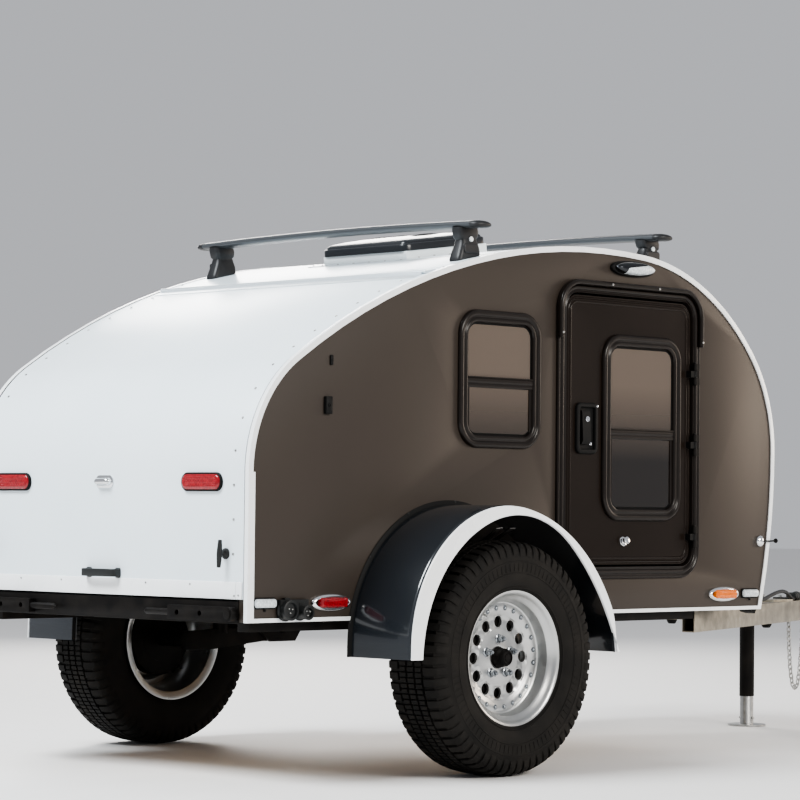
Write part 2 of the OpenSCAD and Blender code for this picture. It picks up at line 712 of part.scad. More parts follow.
module stabiliser_arm() {
    tip = stab_pivot - stab_len;
    color("#131416") difference() {
        union() {
            box([-28, -stab_pivot, stab_z - 21], [-2, -tip, stab_z + 21]);
            translate([-28, -stab_pivot, stab_z]) rotate([0, 90, 0]) cylinder(h = 26, r = 21);
            rod([-15, -tip - 5, stab_z], [-15, -tip + 105, stab_z], 10);
            translate([-15, -tip + 105, stab_z]) rotate([-90, 0, 0]) cylinder(h = 14, r1 = 10, r2 = 2);
        }
        translate([-40, -stab_pivot, stab_z]) rotate([0, 90, 0]) cylinder(h = 60, r = stab_pin_r + running);
        for (y = [121, 222])
            translate([-40, -stab_pivot + y, stab_z]) rotate([0, 90, 0]) cylinder(h = 60, r = 8);
    }
}
module stabiliser_right() {
    at_rear() stabiliser_arm();
}
module stabiliser_left() {
    at_rear() left_side() stabiliser_arm();
}

frame_rails();
tongue_frame();
coupler();
jack_tube();
tow_cable();
suspension_right();
suspension_left();
floor();
side_wall_right();
side_wall_left();
roof();
front_wall();
bulkhead();
galley_counter();
edge_trims();
door_frames();
window_frames();
window_glass();
fender_right();
fender_left();
fender_edges();
side_lamps();
power_inlets();
vent_base();
roof_bars();
hatch_hinge();
jack_leg();
tyre_right();
rim_right();
hub_right();
tyre_left();
rim_left();
hub_left();
door_right();
door_sash_right();
door_glass_right();
door_left();
door_sash_left();
door_glass_left();
hatch_skin();
hatch_core();
hatch_fittings();
tail_lamps();
vent_lid();
stabiliser_right();
stabiliser_left();
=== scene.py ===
"""Looks of the teardrop trailer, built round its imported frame.

Metres throughout: X runs forward to the coupler, Y to the trailer's left and Z up from the floor.
Side pieces are built once for each side: side is -1 on the right and 1 on the left.
"""

from math import atan2, ceil, copysign, cos, dist, hypot, pi, radians, sin, sqrt, tan

import bmesh
import bpy
from mathutils import Matrix, Vector

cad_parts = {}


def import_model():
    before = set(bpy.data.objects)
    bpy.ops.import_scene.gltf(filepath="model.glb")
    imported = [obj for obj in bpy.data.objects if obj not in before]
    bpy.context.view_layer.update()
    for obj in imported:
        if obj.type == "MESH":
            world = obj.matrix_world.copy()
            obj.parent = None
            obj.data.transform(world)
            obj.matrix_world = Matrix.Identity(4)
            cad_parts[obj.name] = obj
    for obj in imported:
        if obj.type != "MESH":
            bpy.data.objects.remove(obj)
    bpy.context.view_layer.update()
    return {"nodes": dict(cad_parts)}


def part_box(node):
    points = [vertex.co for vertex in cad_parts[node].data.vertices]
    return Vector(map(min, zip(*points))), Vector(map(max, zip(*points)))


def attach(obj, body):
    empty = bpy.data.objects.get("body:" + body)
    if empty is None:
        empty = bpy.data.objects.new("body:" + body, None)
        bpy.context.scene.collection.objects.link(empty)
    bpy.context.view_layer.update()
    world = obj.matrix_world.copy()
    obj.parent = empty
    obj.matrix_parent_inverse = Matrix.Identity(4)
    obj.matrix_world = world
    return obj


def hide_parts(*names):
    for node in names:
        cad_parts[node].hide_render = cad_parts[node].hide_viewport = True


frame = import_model()
SIDES = {"right": -1, "left": 1}

# Places taken from the frame
WALL_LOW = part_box("side_wall_right")[0]
WALL_Y = -WALL_LOW.y
BODY_Z = WALL_LOW.z
REAR_X = WALL_LOW.x
SKIN_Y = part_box("hatch_skin")[1].y
# The body along its base
BODY_LENGTH = 2.410


# ---- Materials ----
MATERIALS = {}


def new_node(mat, kind, **inputs):
    node = mat.node_tree.nodes.new("ShaderNode" + kind)
    for socket, value in inputs.items():
        node.inputs[socket.replace("_", " ")].default_value = value
    return node


def colour_ramp(mat, factor, low, high):
    """Colours the whole material by a factor, between two (position, colour) stops."""
    ramp = new_node(mat, "ValToRGB")
    for element, (position, colour) in zip(ramp.color_ramp.elements, (low, high)):
        element.position = position
        element.color = list(colour) + [1]
    links = mat.node_tree.links
    links.new(factor, ramp.inputs["Fac"])
    links.new(ramp.outputs["Color"], mat.node_tree.nodes["Principled BSDF"].inputs["Base Color"])


def material(name, colour, roughness, metallic=0.0, coat=0.0, vary=0.06, vary_scale=6.0,
        rough_vary=0.05, bump=0.02, bump_scale=350.0, stretch=(1, 1, 1), second=None,
        alpha=1.0, coat_roughness=0.05, specular=0.5):
    """A procedural finish: cloudy colour and roughness with a fine bump, all in object space.

    second is the colour that the clouds drift towards, and stretch pulls the grain out along an axis.
    """
    mat = MATERIALS[name] = bpy.data.materials.new(name)
    mat.use_nodes = True
    links = mat.node_tree.links
    shader = mat.node_tree.nodes["Principled BSDF"]
    for socket, value in (("Metallic", metallic), ("Coat Weight", coat), ("Coat Roughness", coat_roughness),
            ("Specular IOR Level", specular), ("Alpha", alpha)):
        shader.inputs[socket].default_value = value
    place = new_node(mat, "TexCoord")
    mapping = new_node(mat, "Mapping", Scale=stretch)
    links.new(place.outputs["Object"], mapping.inputs["Vector"])
    clouds = new_node(mat, "TexNoise", Scale=vary_scale, Detail=5.0)
    links.new(mapping.outputs["Vector"], clouds.inputs["Vector"])
    drift = second or [c * (1 + vary) for c in colour]
    colour_ramp(mat, clouds.outputs["Fac"], (0.3, [c * (1 - vary) for c in colour]), (0.75, drift))
    rough = new_node(mat, "MapRange", To_Min=max(0.01, roughness - rough_vary),
            To_Max=roughness + rough_vary)
    links.new(clouds.outputs["Fac"], rough.inputs["Value"])
    links.new(rough.outputs["Result"], shader.inputs["Roughness"])
    grain = new_node(mat, "TexNoise", Scale=bump_scale, Detail=3.0)
    links.new(mapping.outputs["Vector"], grain.inputs["Vector"])
    height = new_node(mat, "Bump", Strength=bump, Distance=0.002)
    links.new(grain.outputs["Fac"], height.inputs["Height"])
    links.new(height.outputs["Normal"], shader.inputs["Normal"])
    return mat


def glass(name, low_colour, painted_reflection_colour, alpha):
    """Tinted glass with a painted sky reflection: its colour gets lighter towards the top of the windows.
    """
    mat = material(name, low_colour, 0.04, coat=0.5, rough_vary=0.02, bump=0.004, bump_scale=4.0,
            alpha=alpha)
    links = mat.node_tree.links
    place = new_node(mat, "TexCoord")
    split = new_node(mat, "SeparateXYZ")
    links.new(place.outputs["Object"], split.inputs["Vector"])
    # Painted reflection: the colour lightens with height, from the dark tint to the painted sky colour
    rise = new_node(mat, "MapRange", From_Min=0.85, From_Max=1.35)
    links.new(split.outputs["Z"], rise.inputs["Value"])
    colour_ramp(mat, rise.outputs["Result"], (0.25, low_colour), (0.75, painted_reflection_colour))
    mat.surface_render_method = "DITHERED"


material("bronze_panel", (0.041, 0.0322, 0.026), 0.4, metallic=0.12, vary=0.06, vary_scale=1.6, bump=0.06,
        bump_scale=900, specular=0.3)
material("door_paint", (0.015, 0.0108, 0.0085), 0.2, vary=0.06, vary_scale=2, bump=0.02, bump_scale=700,
        coat=0.08, coat_roughness=0.08, specular=0.14)
material("dark_bronze", (0.011, 0.008, 0.0065), 0.3, metallic=0.1, vary=0.1, bump=0.03, bump_scale=800,
        coat=0.12, coat_roughness=0.15, specular=0.22)
material("white_skin", (0.76, 0.84, 0.885), 0.32, vary=0.015, vary_scale=2.2, bump=0.05, bump_scale=5,
        coat=0.15, coat_roughness=0.2, second=(0.80, 0.87, 0.91))
material("white_trim", (0.86, 0.875, 0.88), 0.28, vary=0.03, bump=0.02, coat=0.2)
material("fender_paint", (0.014, 0.017, 0.021), 0.2, vary=0.1, vary_scale=3, bump=0.02, bump_scale=500,
        coat=0.8, coat_roughness=0.06, specular=0.4)
material("frame_black", (0.006, 0.0055, 0.0055), 0.5, vary=0.3, vary_scale=18, bump=0.12, bump_scale=260,
        second=(0.013, 0.011, 0.0095), specular=0.12)
material("galvanised", (0.27, 0.24, 0.19), 0.42, metallic=0.75, vary=0.18, vary_scale=26, rough_vary=0.12,
        bump=0.08, bump_scale=180, second=(0.40, 0.365, 0.30))
material("coupler_black", (0.010, 0.010, 0.011), 0.38, vary=0.3, vary_scale=30, bump=0.15, bump_scale=220,
        second=(0.032, 0.028, 0.025), specular=0.4)
material("cable_black", (0.010, 0.010, 0.011), 0.5, bump=0.1, bump_scale=600)
material("wood", (0.42, 0.27, 0.14), 0.42, vary=0.2, vary_scale=9, stretch=(0.4, 5, 5), bump=0.1,
        bump_scale=60, second=(0.56, 0.39, 0.22))
# Dark tint below; the lighter top colour is a painted sky reflection
glass("tinted_glass", (0.010, 0.007, 0.005), (0.115, 0.088, 0.068), 0.93)
material("clear_lens", (0.60, 0.64, 0.66), 0.1, coat=0.8, vary=0.3, vary_scale=160, bump=0.25,
        bump_scale=420)
material("amber_lens", (0.78, 0.17, 0.008), 0.14, coat=0.6, vary=0.2, vary_scale=120, bump=0.2,
        bump_scale=380)
material("red_lens", (0.20, 0.004, 0.008), 0.16, coat=0.5, vary=0.3, vary_scale=170, bump=0.22,
        bump_scale=380, second=(0.36, 0.012, 0.018), specular=0.35)
material("black_plastic", (0.009, 0.0095, 0.0095), 0.48, bump=0.15, bump_scale=700,
        second=(0.016, 0.018, 0.018), specular=0.4)
material("white_plastic", (0.78, 0.82, 0.83), 0.4, vary=0.03, bump=0.08, bump_scale=600)
material("smoke_plastic", (0.012, 0.014, 0.017), 0.3, coat=0.25, coat_roughness=0.1, vary=0.1, bump=0.02,
        specular=0.35)
material("bar_silver", (0.075, 0.080, 0.086), 0.36, metallic=0.55, vary=0.06, stretch=(6, 0.3, 6),
        bump=0.05, bump_scale=240, specular=0.4)
material("bar_black", (0.012, 0.0125, 0.014), 0.42, vary=0.12, bump=0.14, bump_scale=650, specular=0.4)
material("zinc", (0.46, 0.46, 0.45), 0.32, metallic=0.9, vary=0.14, vary_scale=45, bump=0.08,
        bump_scale=260)
material("tyre", (0.0085, 0.008, 0.0075), 0.72, vary=0.22, vary_scale=11, rough_vary=0.08, bump=0.3,
        bump_scale=420, second=(0.018, 0.016, 0.014), specular=0.16)
material("bright_alloy", (0.50, 0.505, 0.50), 0.3, metallic=0.95, vary=0.07, vary_scale=14, rough_vary=0.07,
        bump=0.05, bump_scale=380)
material("nut_steel", (0.27, 0.29, 0.31), 0.24, metallic=0.9, vary=0.1, vary_scale=60, bump=0.03)
material("hinge_alloy", (0.66, 0.72, 0.76), 0.3, metallic=0.5, vary=0.04, bump=0.03, stretch=(6, 0.4, 6))
material("chrome", (0.80, 0.81, 0.82), 0.1, metallic=1.0, vary=0.02, bump=0.01)
material("hood_chrome", (0.05, 0.053, 0.058), 0.12, metallic=0.9, vary=0.05, bump=0.01)
material("seal_black", (0.006, 0.006, 0.006), 0.6, bump=0.1, bump_scale=500, specular=0.18)


# ---- Mesh tools ----
def add(name, bm, finish, body, stands_for=(), crease=35):
    """Turns a bmesh into a piece with a finish that rides on a body."""
    bmesh.ops.recalc_face_normals(bm, faces=bm.faces)
    mesh = bpy.data.meshes.new(name)
    bm.to_mesh(mesh)
    bm.free()
    mesh.shade_smooth()
    mesh.set_sharp_from_angle(angle=radians(crease))
    mesh.materials.append(MATERIALS[finish])
    obj = bpy.data.objects.new(name, mesh)
    bpy.context.scene.collection.objects.link(obj)
    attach(obj, body)
    if stands_for:
        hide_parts(*stands_for)
    return obj


def soften(bm, width, segments=2, angle=40):
    """Rounds the edges where faces meet at more than an angle."""
    sharp = [e for e in bm.edges if len(e.link_faces) == 2 and e.calc_face_angle(0) > radians(angle)]
    bmesh.ops.bevel(bm, geom=sharp, offset=width, segments=segments, affect="EDGES", profile=0.6,
            clamp_overlap=True)


def dressed(node, finish, body, bevel=0.0015):
    """A CAD node's own shape with softened edges, standing for it."""
    bm = bmesh.new()
    bm.from_mesh(frame["nodes"][node].data)
    bmesh.ops.remove_doubles(bm, verts=bm.verts, dist=2e-5)
    bmesh.ops.dissolve_limit(bm, angle_limit=radians(0.4), verts=bm.verts, edges=bm.edges)
    if bevel:
        soften(bm, bevel)
    return add(node + "_shape", bm, finish, body, [node])


def loft(bm, loops, closed_rows=True, closed_across=False):
    """Joins rows of points, each row closed on itself unless told otherwise."""
    rows = [[bm.verts.new(p) for p in loop] for loop in loops]
    pairs = list(zip(rows, rows[1:]))
    if closed_across:
        pairs.append((rows[-1], rows[0]))
    for a, b in pairs:
        count = len(a)
        for k in range(count if closed_rows else count - 1):
            bm.faces.new((a[k], a[(k + 1) % count], b[(k + 1) % count], b[k]))
    return rows


def cap(bm, row):
    bm.faces.new(row)


def close_ends(bm, rows):
    """Closes a loft over its first and its last row."""
    cap(bm, rows[0])
    cap(bm, rows[-1])


def close_sides(bm, rows):
    """Closes an open loft over the first and the last point of its rows."""
    for index in (0, -1):
        cap(bm, [row[index] for row in rows])


def mm(*points):
    """Points given in millimetres, turned into metres."""
    return [tuple(v / 1000 for v in point) for point in points]


def turned(bm, profile, origin, axis, steps=24, closed=False):
    """Turns a profile of (radius, distance along the axis) points; ends at radius 0 close themselves."""
    axis = Vector(axis).normalized()
    side = axis.orthogonal().normalized()
    up = axis.cross(side)
    origin = Vector(origin)

    def ring(radius, along):
        centre = origin + axis * along
        if radius < 1e-6:
            return [bm.verts.new(centre)]
        angles = [2 * pi * k / steps for k in range(steps)]
        return [bm.verts.new(centre + radius * (cos(a) * side + sin(a) * up)) for a in angles]

    rings = [ring(r, d) for r, d in profile]
    pairs = list(zip(rings, rings[1:]))
    if closed:
        pairs.append((rings[-1], rings[0]))
    for a, b in pairs:
        if len(a) == 1 and len(b) == 1:
            continue
        for k in range(steps):
            n = (k + 1) % steps
            corners = [a[0]] if len(a) == 1 else [a[k], a[n]]
            corners += [b[0]] if len(b) == 1 else [b[n], b[k]]
            bm.faces.new(corners)


def dome(bm, origin, axis, radius, height, steps=16):
    """A low round head, such as a rivet's."""
    angles = [radians(a) for a in (0, 22, 45, 68, 90)]
    turned(bm, [(radius, -0.001)] + [(radius * cos(a), height * sin(a)) for a in angles], origin, axis,
            steps)


def screw(bm, origin, axis, radius):
    """A pan head with a shallow round socket in it."""
    turned(bm, [(radius, -0.001), (radius, radius * 0.25), (radius * 0.8, radius * 0.5),
            (radius * 0.38, radius * 0.56), (radius * 0.3, radius * 0.2), (0, radius * 0.15)], origin, axis,
            14)


def box(bm, low, high):
    """A block between two corners, given in any order."""
    x, y, z = [sorted(pair) for pair in zip(low, high)]
    loops = [[(x[0], y[0], h), (x[1], y[0], h), (x[1], y[1], h), (x[0], y[1], h)] for h in z]
    close_ends(bm, loft(bm, loops))


def tube(bm, points, radius, sides=12, closed=False):
    """A round tube along a line of points."""
    points = [Vector(p) for p in points]
    count = len(points)
    normal = None
    loops = []
    for k, point in enumerate(points):
        before = points[(k - 1) % count] if closed or k else points[0]
        after = points[(k + 1) % count] if closed or k < count - 1 else points[-1]
        heading = (after - before).normalized()
        if normal is None:
            normal = heading.orthogonal().normalized()
        normal = (normal - heading * normal.dot(heading)).normalized()
        other = heading.cross(normal)
        turns = [2 * pi * q / sides for q in range(sides)]
        loops.append([point + radius * (cos(t) * normal + sin(t) * other) for t in turns])
    rows = loft(bm, loops, closed_across=closed)
    if not closed:
        close_ends(bm, rows)


def smooth_line(points, steps=8):
    """Points along a smooth curve through a few chosen ones."""
    points = [Vector(p) for p in points]
    ends = [2 * points[0] - points[1]] + points + [2 * points[-1] - points[-2]]
    line = []
    for a, b, c, d in zip(ends, ends[1:], ends[2:], ends[3:]):
        for k in range(steps):
            t = k / steps
            line.append(0.5 * ((2 * b) + (c - a) * t + (2 * a - 5 * b + 4 * c - d) * t ** 2
                    + (3 * b - a - 3 * c + d) * t ** 3))
    return line + [points[-1]]


def rounded(cx, cz, w, h, r, n=12):
    """A rounded rectangle in X and Z, as (x, z) points."""
    points = []
    for quarter, (sx, sz) in enumerate(((1, 1), (-1, 1), (-1, -1), (1, -1))):
        for k in range(n + 1):
            a = radians(90 * quarter + 90 * k / n)
            points.append((cx + sx * (w / 2 - r) + r * cos(a), cz + sz * (h / 2 - r) + r * sin(a)))
    return points


def oval(cx, cz, w, h, n=12):
    """An ellipse with slightly full shoulders, as (x, z) points."""
    turns = [2 * pi * k / (4 * n) for k in range(4 * n)]
    return [(cx + w / 2 * copysign(abs(cos(t)) ** 0.9, cos(t)), cz + h / 2 * copysign(abs(sin(t)) ** 0.9,
            sin(t))) for t in turns]


def stack(bm, place, centre, size, radius, section, n=12, closed=False):
    """Rows of a flat shape at each (inset, height) of a section; place(u, v, height) puts a point.

    The shape is a rounded rectangle, or an oval where radius is None.
    """
    loops = []
    for inset, height in section:
        w, h = size[0] - 2 * inset, size[1] - 2 * inset
        if radius is None:
            outline = oval(*centre, w, h, n)
        else:
            outline = rounded(*centre, w, h, max(radius - inset, 0.001), n)
        loops.append([place(u, v, height) for u, v in outline])
    return loft(bm, loops, closed_across=closed)


def on_wall(side, wall):
    """Places points on a side wall: along it, up it and out from it."""
    return lambda x, z, height: (x, side * (wall + height), z)


def ring(bm, centre, size, radius, section, side, wall, n=12, closed=True):
    """A stack on a side wall, at heights off a wall plane."""
    return stack(bm, on_wall(side, wall), centre, size, radius, section, n, closed)


def middle(node):
    low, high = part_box(node)
    return (low + high) / 2


# ---- Wheels ----
def on_wheel(centre, side, radius, angle, out):
    """A place at a radius and an angle round a wheel, out from its middle plane."""
    return (centre.x + radius * cos(angle), centre.y + side * out, centre.z + radius * sin(angle))


TREAD_PITCHES = 66
TREAD_DEPTH = 0.009
RIVET_CIRCLE_R = 0.152
LUG_CIRCLE_R = 0.05715


def crown(y, radius):
    """The tread face's radius at a distance from its middle."""
    return radius - 0.16 * y * y - 2.2 * max(0, abs(y) - 0.07) ** 1.5


def lug(bm, centre, line, depths, start, end, side):
    """One tread lug: a line of (y, radius) points across the tread, cut down by its depths."""
    def row(angle, drop, pinch):
        shrink = pinch * (1 if angle == start else -1) * 0.0012 / 0.36
        a = angle + shrink
        return [(centre.x + (r - d * drop) * sin(a), side * (centre_y + y),
                centre.z + (r - d * drop) * cos(a)) for (y, r), d in zip(line, depths)]

    centre_y = abs(centre.y)
    loops = [row(start, 1, 0), row(start, 0.12, 0), row(start, 0, 1), row(end, 0, 1), row(end, 0.12, 0),
            row(end, 1, 0)]
    close_sides(bm, loft(bm, loops, closed_rows=False))


def tyre(name, side):
    low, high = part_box("tyre_" + name)
    centre = (low + high) / 2
    radius = (high.z - low.z) / 2
    half = (high.y - low.y) / 2
    floor = radius - TREAD_DEPTH
    centre_y = abs(centre.y)
    bead = 0.1925
    shoulder = half - 0.006
    carcass = [(bead, -0.078), (bead + 0.010, -0.092), (bead + 0.022, -0.1), (bead + 0.045, -half + 0.003),
            (0.285, -half), (0.318, -half + 0.005), (floor - 0.012, -0.100), (floor - 0.001, -0.088)]
    carcass += [(crown(y / 1000, floor), y / 1000) for y in range(-80, 81, 16)]
    outer_wall = [(r, -y) for r, y in reversed(carcass[:8])]
    # Fine raised rings on the outer sidewall
    ribs = [(0.318, half - 0.005), (0.2975, half - 0.0005), (0.2965, half + 0.0008),
            (0.2935, half + 0.0008), (0.2925, half - 0.0004), (0.262, half - 0.0012),
            (0.261, half + 0.0002), (0.2585, half - 0.0002), (0.2575, half - 0.0018),
            (bead + 0.045, half - 0.003), (bead + 0.026, half - 0.0105), (bead + 0.024, half - 0.0085),
            (bead + 0.0215, half - 0.0085), (bead + 0.020, half - 0.0125), (bead + 0.010, 0.092),
            (bead, 0.078)]
    profile = carcass + outer_wall[:2] + ribs
    bm = bmesh.new()
    turned(bm, profile, centre, (0, side, 0), 144, closed=True)
    step = 2 * pi / TREAD_PITCHES
    rows = ((-0.045, -0.019, 0.0), (-0.013, 0.013, 0.5), (0.019, 0.045, 0.0))
    for pitch in range(TREAD_PITCHES):
        for inner, outer, offset in rows:
            for half_lug in (0, 1):
                start = (pitch + offset + 0.5 * half_lug) * step
                ends = [start + 0.03 * step, start + 0.44 * step]
                line = [(inner + 0.0016 * half_lug, crown(inner, radius)), (0.5 * (inner + outer) + 0.003,
                        crown(0.5 * (inner + outer), radius)),
                        (outer - 0.0016 * half_lug, crown(outer, radius))]
                lug(bm, centre, line, [0.011] * 3, *ends, side)
        for edge in (-1, 1):
            wide = pitch % 2 == 0
            start = (pitch + (0.25 if edge > 0 else 0.7)) * step
            reach = 0.030 if wide else 0.022
            line = [(edge * 0.052, crown(0.052, radius)), (edge * 0.083, crown(0.083, radius)),
                    (edge * 0.098, radius - 0.0115),
                    (edge * (shoulder + 0.0015), radius - 0.012 - reach * 0.55),
                    (edge * (shoulder + 0.0035), radius - 0.014 - reach)]
            lug(bm, centre, line, [0.011, 0.011, 0.013, 0.012, 0.012], start, start + 0.68 * step, side)
    # Short ribs round the middle of the sidewall
    for k in range(90):
        a = 2 * pi * k / 90
        arm = Vector((sin(a), 0, cos(a)))
        across = Vector((cos(a), 0, -sin(a))) * 0.0016
        inner, outer = centre + arm * 0.2655, centre + arm * 0.2895
        loops = [[p + across * s for p in (inner, outer)] for s in (-1, 1)]
        y0, y1 = side * (centre_y + half - 0.002), side * (centre_y + half + 0.0002)
        corners = [(p.x, y, p.z) for y in (y0, y1) for p in (loops[0][0], loops[0][1], loops[1][1],
                loops[1][0])]
        rows_of = loft(bm, [corners[:4], corners[4:]])
        cap(bm, rows_of[1])
    add("tyre_%s_tread" % name, bm, "tyre", "wheel_" + name, ["tyre_" + name])


def disc_y(r):
    """How far the wheel's disc stands out from the tyre's centre plane."""
    if r < 0.086:
        return 0.028
    if r < 0.120:
        return 0.028 - 0.004 * (r - 0.086) / 0.034
    return 0.024 + 0.012 * min(1, (r - 0.120) / 0.026)


def rim(name, side):
    centre = middle("tyre_" + name)
    bm = bmesh.new()
    axis = (0, side, 0)
    hole_ring, hole_r, inner, outer = 0.109, 0.017, 0.088, 0.1305
    barrel = [(outer, disc_y(outer)), (0.1345, disc_y(0.1345)), (0.140, 0.0325), (0.146, 0.0356),
            (0.158, 0.0362), (0.166, 0.0352), (0.1705, 0.0372), (0.1722, 0.044), (0.1738, 0.060),
            (0.1762, 0.070), (0.182, 0.0765), (0.1885, 0.080), (0.1935, 0.0865), (0.1975, 0.0915),
            (0.2025, 0.0942), (0.2062, 0.0946), (0.2078, 0.0925), (0.2078, 0.0895), (0.2055, 0.0885),
            (0.1965, 0.0855), (0.1918, 0.0795), (0.1918, -0.096), (0.1965, -0.1005), (0.2078, -0.104),
            (0.2078, -0.1088), (0.1998, -0.109), (0.181, -0.101), (0.179, -0.088), (0.166, -0.058),
            (0.166, 0.026), (0.146, 0.026), (0.1305, 0.015)]
    turned(bm, barrel, centre, axis, 120)
    turned(bm, [(inner, disc_y(inner)), (0.080, 0.0281), (0.046, 0.0281), (0.0405, 0.0300), (0.036, 0.0302),
            (0.0322, 0.0285), (0.0322, 0.018), (0.088, 0.018)], centre, axis, 120)
    # Twelve round holes with rolled edges, each in its own sector of the disc
    sector = radians(15)
    steps = 40
    for k in range(12):
        turn = radians(30 * k)

        def point(radius, angle, y):
            return on_wheel(centre, side, radius, turn + angle, y)

        def edge_point(t):
            """Where a ray from the hole meets the sector's edge, as (radius, angle)."""
            c, s = cos(t), sin(t)
            reach_r = (outer - hole_ring) if c > 0 else (hole_ring - inner)
            by_r = reach_r / max(abs(c), 1e-9)
            by_a = hole_ring * tan(sector) / max(abs(s), 1e-9)
            reach = min(by_r, by_a)
            return hole_ring + reach * c, reach * s / (hole_ring * tan(sector)) * sector

        def hole_point(t, r, y):
            x, z = hole_ring + r * cos(t), r * sin(t)
            return point(hypot(x, z), atan2(z, x), y)

        turns = [2 * pi * q / steps for q in range(steps)]
        level = disc_y(hole_ring)
        loops = [[point(*edge_point(t), disc_y(edge_point(t)[0])) for t in turns]]
        for r, y in ((hole_r + 0.0032, level), (hole_r + 0.0022, level + 0.0012),
                (hole_r + 0.0008, level + 0.0012), (hole_r, level), (hole_r - 0.0006, level - 0.003),
                (hole_r - 0.0004, level - 0.010)):
            loops.append([hole_point(t, r, y) for t in turns])
        loops.append([point(*edge_point(t), disc_y(edge_point(t)[0]) - 0.010) for t in turns])
        loft(bm, loops)
    rivets = bmesh.new()
    for k in range(24):
        a = 2 * pi * (k + 0.5) / 24
        at = on_wheel(centre, side, RIVET_CIRCLE_R, a, 0.036)
        dome(rivets, at, axis, 0.0058, 0.0050, 14)
        turned(rivets, mm((8.5, 0.2), (8.2, 0.8), (6, 0.9), (5.8, 0.2)), at, axis, 14, True)
    # Valve
    at = on_wheel(centre, side, 0.170, 2.2, 0.046)
    turned(bm, mm((5.5, 0), (5.5, 8), (3.5, 10), (3.5, 26), (2, 28), (0, 28)), at,
            (-cos(2.2) * 0.5, side, -sin(2.2) * 0.5), 12)
    add("rim_%s_rivets" % name, rivets, "nut_steel", "wheel_" + name)
    add("rim_%s_face" % name, bm, "bright_alloy", "wheel_" + name, ["rim_" + name], 28)


def hub(name, side):
    centre = middle("tyre_" + name)
    axis = (0, side, 0)
    bm = bmesh.new()
    ribs = []
    for k in range(4):
        y = 0.040 + 0.0045 * k
        ribs += [(0.0290 - 0.0007 * k, y), (0.0272 - 0.0007 * k, y + 0.0012),
                (0.0272 - 0.0007 * k, y + 0.0030), (0.0290 - 0.0007 * k, y + 0.0042)]
    turned(bm, mm((78, -44), (78, 17.5), (36, 17.8), (31.5, 18.5), (31.5, 34), (30, 37.5)) + ribs
            + mm((26.2, 60), (23.5, 66), (19.5, 69.2), (18, 69.2), (17.2, 66), (11.5, 65.5), (10, 67.2),
            (6, 67.6), (0, 67.6)), centre, axis, 40)
    turned(bm, [(0.0205, -0.046), (0.078, -0.044)], centre, axis, 40)
    # Brake drum in flat black, sized to fill and darken the wheel's holes with painted shade
    turned(bm, mm((77.5, 10), (112, 9.5), (122, 6), (125.5, 1), (125.5, -20), (128.5, -21), (128.5, -26),
            (125.5, -27), (125.5, -40), (118, -42.5), (77.5, -42.5)), centre, axis, 48)
    add("hub_%s_cap" % name, bm, "frame_black", "wheel_" + name, ["hub_" + name])
    bm = bmesh.new()
    for k in range(5):
        a = radians(72 * k + 18)
        at = on_wheel(centre, side, LUG_CIRCLE_R, a, 0.024)
        turned(bm, mm((14.5, 3.5), (14.5, 5.8), (11.8, 6.8), (10.4, 8)), at, axis, 24)
        turned(bm, mm((10.4, 8), (10.8, 9), (10.8, 22), (8.6, 24.5), (6.2, 24.5)), at, axis, 6)
        turned(bm, mm((6.2, 24.5), (6, 31), (4.6, 32.8), (0, 32.8)), at, axis, 16)
    add("lug_nuts_" + name, bm, "nut_steel", "wheel_" + name, crease=30)


for wheel, wheel_side in SIDES.items():
    tyre(wheel, wheel_side)
    rim(wheel, wheel_side)
    hub(wheel, wheel_side)


# ---- Outlines ----
BODY_WALK = ((0.4373, 0), (0.414, 56.4), (2.465, 31.6), (2.670, 6.7), (0.860, 44.9), (0.525, 40.8),
        (2.128, 12.7), (0.078, 0))
FENDER_WALK = ((0.046, 0), (0.420, 100), (0.568, 52.5), (0.190, 19.4), (0.084, 0))
LIP_WALK = ((0.016, 0), (0.443, 66.4), (0.3615, 61.8), (0.813, 21.8), (0.104, 0))


def walk(segments, x, z, heading, inset=0.0, facet=2.0):
    """Points along straights (length, 0) and clockwise arcs (radius, sweep), moved to their right."""
    points = [(x, z)]
    for length, sweep in segments:
        h = radians(heading)
        if sweep == 0:
            x, z = x + length * cos(h), z + length * sin(h)
            points.append((x, z))
            continue
        r = length - inset
        cx, cz = x + r * sin(h), z - r * cos(h)
        count = ceil(sweep / facet)
        for k in range(1, count + 1):
            a = radians(heading - sweep * k / count)
            points.append((cx - r * sin(a), cz + r * cos(a)))
        x, z = points[-1]
        heading -= sweep
    return points


def body_line(inset=0.0):
    return walk(BODY_WALK, REAR_X + inset, BODY_Z, 90, inset)


def along(points, count):
    """The same line as count evenly spaced points."""
    steps = [dist(a, b) for a, b in zip(points, points[1:])]
    total = sum(steps)
    result = []
    for k in range(count):
        left, i = total * k / (count - 1), 0
        while i < len(steps) - 1 and left > steps[i]:
            left -= steps[i]
            i += 1
        t = min(1, left / steps[i])
        a, b = points[i], points[i + 1]
        result.append((a[0] + (b[0] - a[0]) * t, a[1] + (b[1] - a[1]) * t))
    return result


def roof_height(x):
    """The body outline's height above a place on the roof."""
    line = body_line()
    for a, b in zip(line, line[1:]):
        if a[0] <= x <= b[0] and a[1] > BODY_Z + 0.5:
            return a[1] + (b[1] - a[1]) * (x - a[0]) / (b[0] - a[0])
    return line[-1][1]


def outline_spots(spacing, low, high):
    """Places every so often along the outline with their outward normals, between two X values."""
    line = along(body_line(), 1600)
    spots, gone = [], 0.0
    for a, b in zip(line, line[1:]):
        gone += dist(a, b)
        if gone >= spacing:
            gone = 0.0
            if low <= a[0] <= high:
                t = Vector((b[0] - a[0], 0, b[1] - a[1])).normalized()
                spots.append((a, Vector((-t.z, 0, t.x))))
    return spots


# ---- Body ----
HINGE_X = REAR_X + 0.752
HATCH_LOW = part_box("hatch_skin")[0].z

